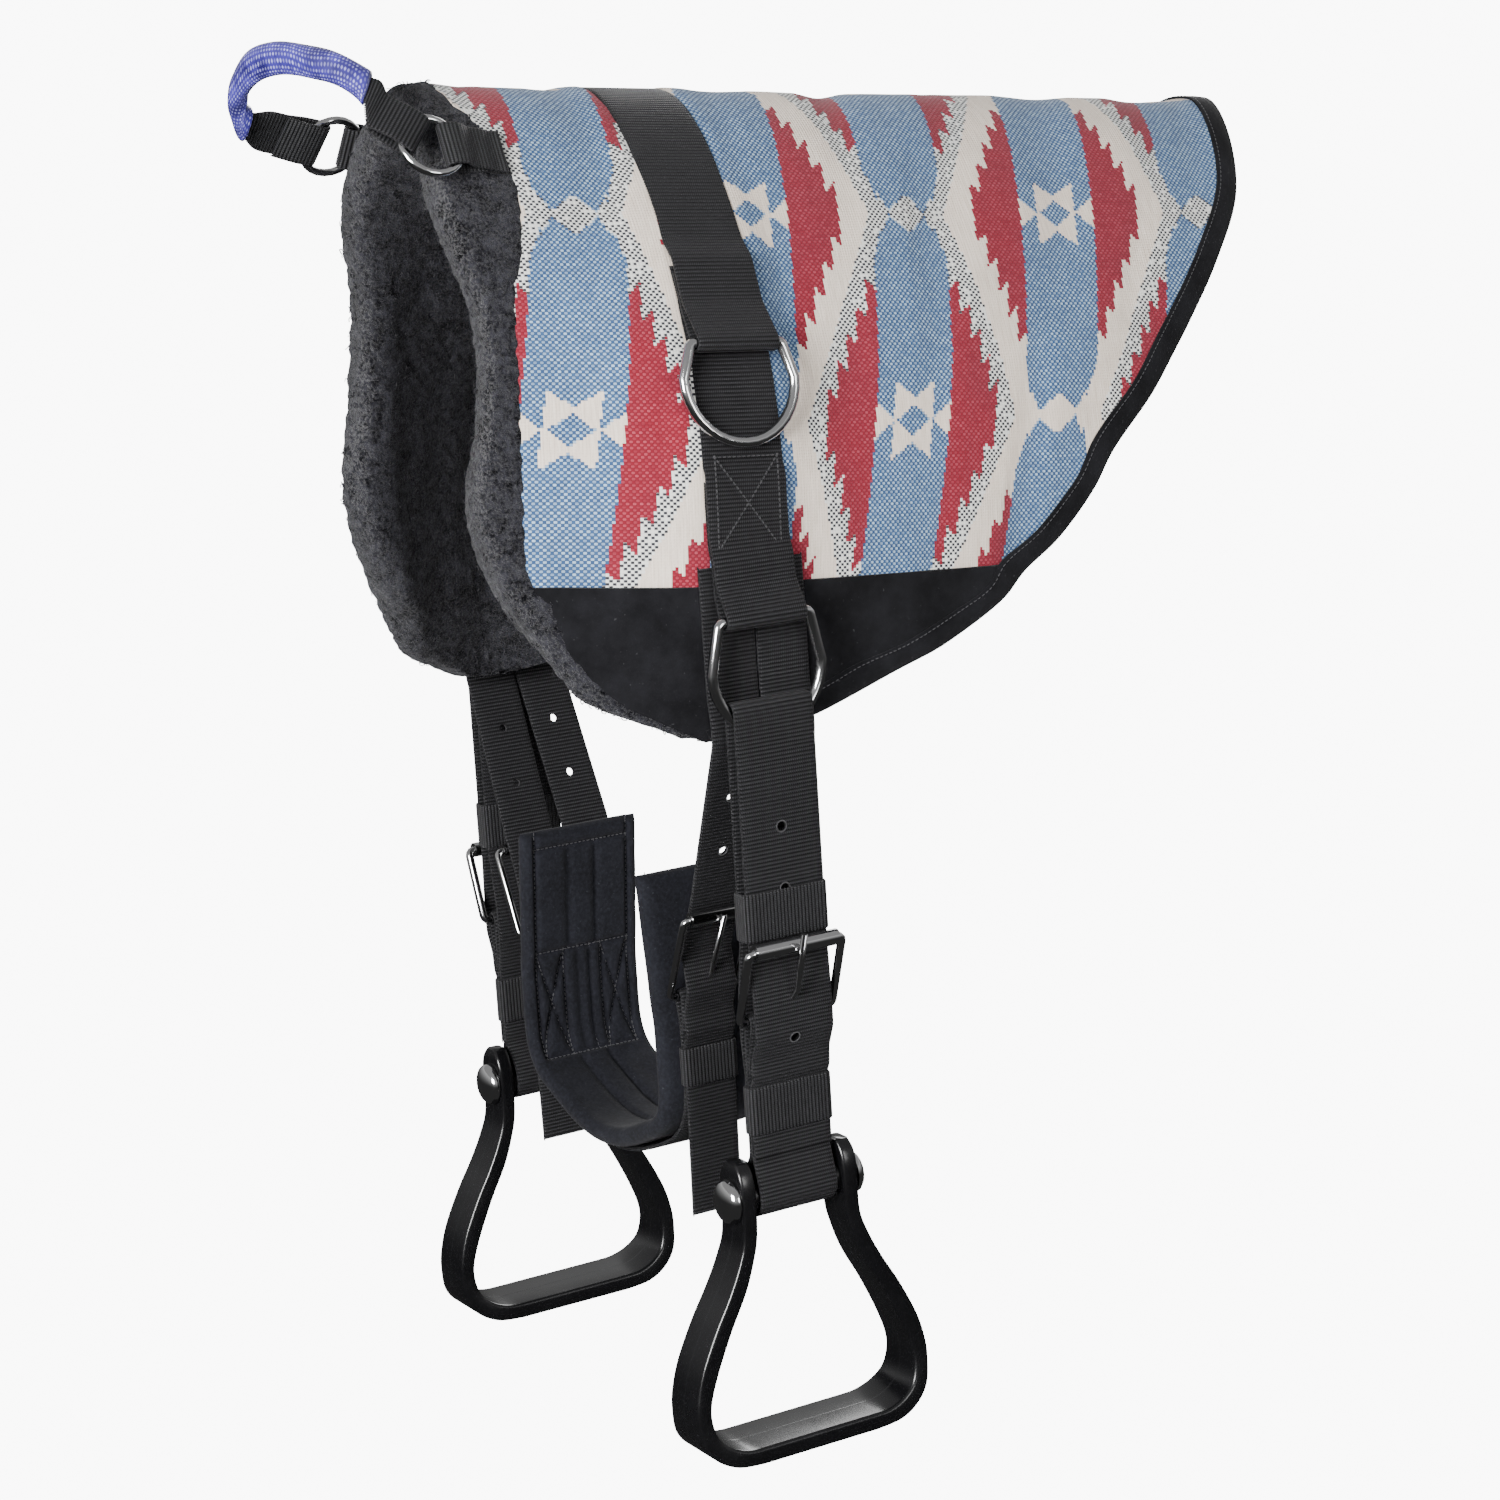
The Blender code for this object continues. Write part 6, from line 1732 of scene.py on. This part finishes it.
class BAREBACKPAD_OT_handle(bpy.types.Operator):
    """Dress the grab handle"""

    bl_idname = "bareback_pad.handle"
    bl_label = "Grab handle"

    def execute(self, context):
        web = material_named("ribbed_webbing")
        ends = {}
        for side, sign, turn in (("left", 1, HANDLE_TURN_LEFT), ("right", -1, HANDLE_TURN_RIGHT)):
            centre, forward, up, out = handle_frame(sign)
            tab = tab_points(sign, TAB_LOW_SHARES) + fold_points(centre, -forward, out)
            tab += tab_points(sign, TAB_HIGH_SHARES)
            stations = [(point - up * HANDLE_HALF, point + up * HANDLE_HALF) for point in tab]
            node = "handle_tab_" + side
            _, even = webbing(node, stations, WIDE_WEB_THICK, web)
            edge_threads(node + "_selvage", even, "pad")
            leave = forward * math.cos(turn) + up * math.sin(turn)
            across = up * math.cos(turn) - forward * math.sin(turn)
            seam = centre + leave * (HANDLE_RING + HANDLE_SEAM)
            start = centre + leave * (HANDLE_RING + HANDLE_SEAM_START)
            pinch = out * (HANDLE_FOLD - HANDLE_PINCH)
            line = [seam - pinch, start - out * HANDLE_FOLD] + fold_points(centre, leave, out)
            line += [start + out * HANDLE_FOLD, seam + pinch]
            ends[side] = (line, across)
        core, sleeve = self.grip_way(ends)
        _, even = webbing("handle_core", core, WIDE_WEB_THICK, web)
        edge_threads("handle_core_selvage", even, "pad")
        self.sleeve(sleeve)
        return {"FINISHED"}

    def grip_way(self, ends):
        """Stations of the web, folded narrow inside the sleeve, and of the sleeve."""
        left, left_across = ends["left"]
        right, right_across = ends["right"]
        corner = handle_frame(1)[0]
        middle = [Vector((corner.x * x, corner.y - HANDLE_BOW * y, corner.z + HANDLE_ARCH * z))
                  for x, y, z in HANDLE_MIDDLE_SHARES]
        free = [left[-1]] + middle + [right[-1]]
        line = [Vector(point) for point in smooth_line([tuple(point) for point in free], 8)][1:-1]
        rise = Vector(HANDLE_RISE).normalized()
        stations = [(point - left_across * HANDLE_HALF, point + left_across * HANDLE_HALF) for point in left]
        sleeve = []
        count = len(line)
        for index, point in enumerate(line):
            part = (index + 1) / (count + 1)
            near, end = (left_across, part) if part < 0.5 else (right_across, 1 - part)
            across = near.lerp(rise, smooth_share(end / HANDLE_TWIST_SHARE)).normalized()
            inside = smooth_share((min(part - SLEEVE_SHARES[0], SLEEVE_SHARES[1] - part) + 0.05) / 0.07)
            half = HANDLE_HALF + (SLEEVE_CORE_HALF - HANDLE_HALF) * inside
            stations.append((point - across * half, point + across * half))
            if SLEEVE_SHARES[0] < part < SLEEVE_SHARES[1]:
                sleeve.append((point, across))
        stations += [(point - right_across * HANDLE_HALF, point + right_across * HANDLE_HALF)
                     for point in reversed(right)]
        return stations, sleeve

    def sleeve(self, stations):
        """A clear tube shrunk round the folded web."""
        rings, places = [], []
        along = 0.0
        last = len(stations) - 1
        for index, (point, across) in enumerate(stations):
            before = stations[max(index - 1, 0)][0]
            after = stations[min(index + 1, last)][0]
            along += (point - before).length
            out = (after - before).cross(across).normalized()
            ends = min(index, last - index) / last
            half = SLEEVE_HALF * (1 + 0.22 * math.exp(-ends * 22))
            deep = SLEEVE_DEEP * (1 + 0.16 * noise.noise(point * 45))
            ring, place = [], []
            for k in range(28):
                angle = math.tau * k / 28
                wide = math.copysign(abs(math.cos(angle)) ** 0.72, math.cos(angle)) * half
                high = math.copysign(abs(math.sin(angle)) ** 0.85, math.sin(angle)) * deep
                ring.append(point + across * wide + out * high)
                place.append((along, angle * (half + deep) / 2))
            rings.append(ring)
            places.append(place + [(along, math.tau * (half + deep) / 2)])
        mesh = tube_mesh("handle_sleeve_look", rings, places)
        subdivided(new_object("handle_sleeve_look", mesh, material_named("glossy_mesh"), "pad", "mesh_sleeve",
                              "handle_sleeve"))


def handle_frame(sign):
    """Centre of a handle ring, forwards, up the slope and out of the pad."""
    arc = sign * arc_at(HANDLE_DROP)
    across = surface(arc + NUDGE, HANDLE_ALONG) - surface(arc - NUDGE, HANDLE_ALONG)
    out = surface_out(arc, HANDLE_ALONG)
    centre = pad_point(arc, HANDLE_ALONG, HANDLE_LIFT)
    up = -across.normalized() * sign
    forward = out.cross(up) * sign
    if forward.dot(ALONG) > 0:
        forward = -forward
    return centre, forward, up, out


def tab_points(sign, shares):
    """Points of a tab behind its ring."""
    arc = sign * arc_at(HANDLE_DROP)
    rear = HANDLE_ALONG + HANDLE_REACH + HANDLE_FOLD
    return [pad_point(arc, rear + TAB_LENGTH * back, TAB_LIFT + HANDLE_LIFT * rise) for back, rise in shares]


def fold_points(centre, away, out):
    """The turn of a web round the far side of a handle ring."""
    points = []
    for step in range(7):
        angle = math.radians(30 * step - 90)
        points.append(centre + away * (HANDLE_REACH + HANDLE_FOLD - HANDLE_FOLD * math.cos(angle))
                      + out * HANDLE_FOLD * math.sin(angle))
    return points


METAL_NODES = ("upper_dee", "lower_dee", "handle_ring", "strap_buckle_frame", "strap_roller", "strap_tongue",
               "girth_buckle_frame", "girth_roller", "girth_tongue", "stirrup_bolt", "stirrup_nut")


class BAREBACKPAD_OT_metal(bpy.types.Operator):
    """Polish the rings, buckles and bolts"""

    bl_idname = "bareback_pad.metal"
    bl_label = "Rings and buckles"

    def execute(self, context):
        nickel = material_named("polished_nickel")
        for name in METAL_NODES:
            for side, _ in SIDES:
                dressed_copy(f"{name}_{side}", nickel)
        return {"FINISHED"}


class BAREBACKPAD_OT_stirrups(bpy.types.Operator):
    """Mould the stirrups and their spools"""

    bl_idname = "bareback_pad.stirrups"
    bl_label = "Stirrups"

    def execute(self, context):
        plastic = material_named("moulded_plastic")
        for side, sign in SIDES:
            self.frame("stirrup_frame_" + side, sign, plastic)
            dressed_copy("stirrup_spool_" + side, plastic)
        return {"FINISHED"}

    def frame(self, node, sign, plastic):
        """A band with rounded corners swept round the bell."""
        half = smooth_line(STIRRUP_SHARES, 5)
        bends = [(*shares, -1) for shares in half] + [(*shares, 1) for shares in reversed(half)]
        bolt = Vector((sign * STIRRUP_MIDDLE, 0, BOLT_Z))
        rings, places = [], []
        gone = 0.0
        before = None
        for outer, inner, outer_z, inner_z, depth, mirror in bends:
            out = Vector((0, mirror * outer, outer_z)) * STIRRUP_DROP
            near = Vector((0, mirror * inner, inner_z)) * STIRRUP_DROP
            middle, reach = (out + near) / 2, (out - near) / 2
            gone += (middle - before).length if before else 0.0
            before = middle
            thick, deep = reach.length, depth * STIRRUP_DROP / 2
            corner = min(2.2 * MM, thick * 0.8)
            section = corner_path(thick, deep, corner)
            rings.append([middle + reach.normalized() * a + SIDE * b + bolt for a, b in section])
            places.append([(gone, b) for a, b in section + section[:1]])
        node_object(node, tube_mesh(node + "_look", rings, places), plastic, 60)


class BAREBACKPAD_OT_studio(bpy.types.Operator):
    """Set the floor, the soft lights and the camera"""

    bl_idname = "bareback_pad.studio"
    bl_label = "Studio"

    def execute(self, context):
        stage = context.scene.bareback_pad_stage
        self.sweep(stage)
        self.lights(context, stage)
        self.camera(context, stage)
        return {"FINISHED"}

    def sweep(self, stage):
        """A pale floor that curves up into a low wall all round."""
        bend, reach, wall = stage.bend, stage.reach, stage.wall
        profile = [(reach * share, stage.floor) for share in (0.0, 0.25, 0.5, 0.75, 1.0)]
        for step in range(1, 9):
            angle = math.pi / 2 * step / 8
            profile.append((reach + bend * math.sin(angle), stage.floor + bend * (1 - math.cos(angle))))
        profile.append((reach + bend, stage.floor + wall))
        bm = bmesh.new()
        corners = [bm.verts.new((x, 0, z)) for x, z in profile]
        edges = [bm.edges.new(pair) for pair in zip(corners, corners[1:])]
        bmesh.ops.spin(bm, geom=corners + edges, cent=(0, 0, 0), axis=(0, 0, 1), angle=math.tau, steps=64,
                       use_merge=True)
        bmesh.ops.remove_doubles(bm, verts=bm.verts[:], dist=MERGE)
        bmesh.ops.recalc_face_normals(bm, faces=bm.faces[:])
        bmesh.ops.reverse_faces(bm, faces=bm.faces[:])
        mesh = mesh_from_bmesh(bm, "studio_floor")
        mesh.shade_smooth()
        mesh.materials.append(material_named("pale_floor"))
        floor = linked("studio_floor", mesh)

    def lights(self, context, stage):
        """White air behind the model, and three soft lamps."""
        world = bpy.data.worlds.new("studio_air")
        world.use_nodes = True
        tree = world.node_tree
        background = tree.nodes["Background"]
        background.inputs["Color"].default_value = (1, 1, 1, 1)
        seen = Field(tree, tree.nodes.new("ShaderNodeLightPath").outputs["Is Camera Ray"])
        wired(tree, background.inputs["Strength"], seen * (stage.backdrop - stage.air) + stage.air)
        context.scene.world = world
        for name, place, size, power in (("studio_key", (1.5, -2.4, 0.55), 1.1, stage.key),
                                         ("studio_fill", (2.7, 0.6, 0.3), 1.0, stage.fill),
                                         ("studio_rear", (-2.2, 2.4, 1.1), 1.3, 2 * stage.fill)):
            lamp = bpy.data.lights.new(name, "AREA")
            lamp.shape = "SQUARE"
            lamp.size = size
            lamp.energy = power
            light = linked(name, lamp)
            light.location = place
            light.rotation_euler = (LAMP_TARGET - Vector(place)).to_track_quat("-Z", "Y").to_euler()

    def camera(self, context, stage):
        """The camera stands where the photograph's camera stood."""
        turn, rise, roll = stage.azimuth, stage.elevation, stage.roll
        ahead = Vector((-math.sin(turn) * math.cos(rise), math.cos(turn) * math.cos(rise), -math.sin(rise)))
        right = Vector((math.cos(turn), math.sin(turn), 0))
        above = right.cross(ahead)
        rolled_right = right * math.cos(roll) + above * math.sin(roll)
        rolled_up = above * math.cos(roll) - right * math.sin(roll)
        lens = bpy.data.cameras.new("studio_camera")
        lens.lens = stage.lens
        lens.sensor_width = SENSOR_WIDTH
        lens.clip_start = CLIP_START
        camera = linked("studio_camera", lens)
        camera.matrix_world = Matrix.Translation(stage.place) @ Matrix(
            (rolled_right, rolled_up, -ahead)).transposed().to_4x4()
        context.scene.camera = camera


class BAREBACKPAD_PT_panel(bpy.types.Panel):
    """Steps of dressing the pad."""

    bl_idname = "BAREBACKPAD_PT_panel"
    bl_label = "Bareback Pad"
    bl_space_type = "VIEW_3D"
    bl_region_type = "UI"
    bl_category = "Bareback Pad"

    def draw(self, context):
        for step in STEPS:
            self.layout.operator(step.bl_idname, text=step.bl_label)


STEPS = (BAREBACKPAD_OT_cover, BAREBACKPAD_OT_suede, BAREBACKPAD_OT_lining, BAREBACKPAD_OT_surcingle,
         BAREBACKPAD_OT_straps, BAREBACKPAD_OT_girth, BAREBACKPAD_OT_handle, BAREBACKPAD_OT_metal,
         BAREBACKPAD_OT_stirrups, BAREBACKPAD_OT_studio)
GROUPS = {"bareback_pad_cloth": BarebackPadCloth, "bareback_pad_webs": BarebackPadWebs,
          "bareback_pad_metal": BarebackPadMetal, "bareback_pad_stage": BarebackPadStage}


def register():
    for item in (*GROUPS.values(), *STEPS, BAREBACKPAD_PT_panel):
        bpy.utils.register_class(item)
    for name, group in GROUPS.items():
        setattr(bpy.types.Scene, name, PointerProperty(type=group))


def unregister():
    for name in GROUPS:
        delattr(bpy.types.Scene, name)
    for item in (BAREBACKPAD_PT_panel, *reversed(STEPS), *reversed(GROUPS.values())):
        bpy.utils.unregister_class(item)


def main():
    register()
    for step in STEPS:
        group, name = step.bl_idname.split(".")
        getattr(getattr(bpy.ops, group), name)()


if __name__ == "__main__":
    main()
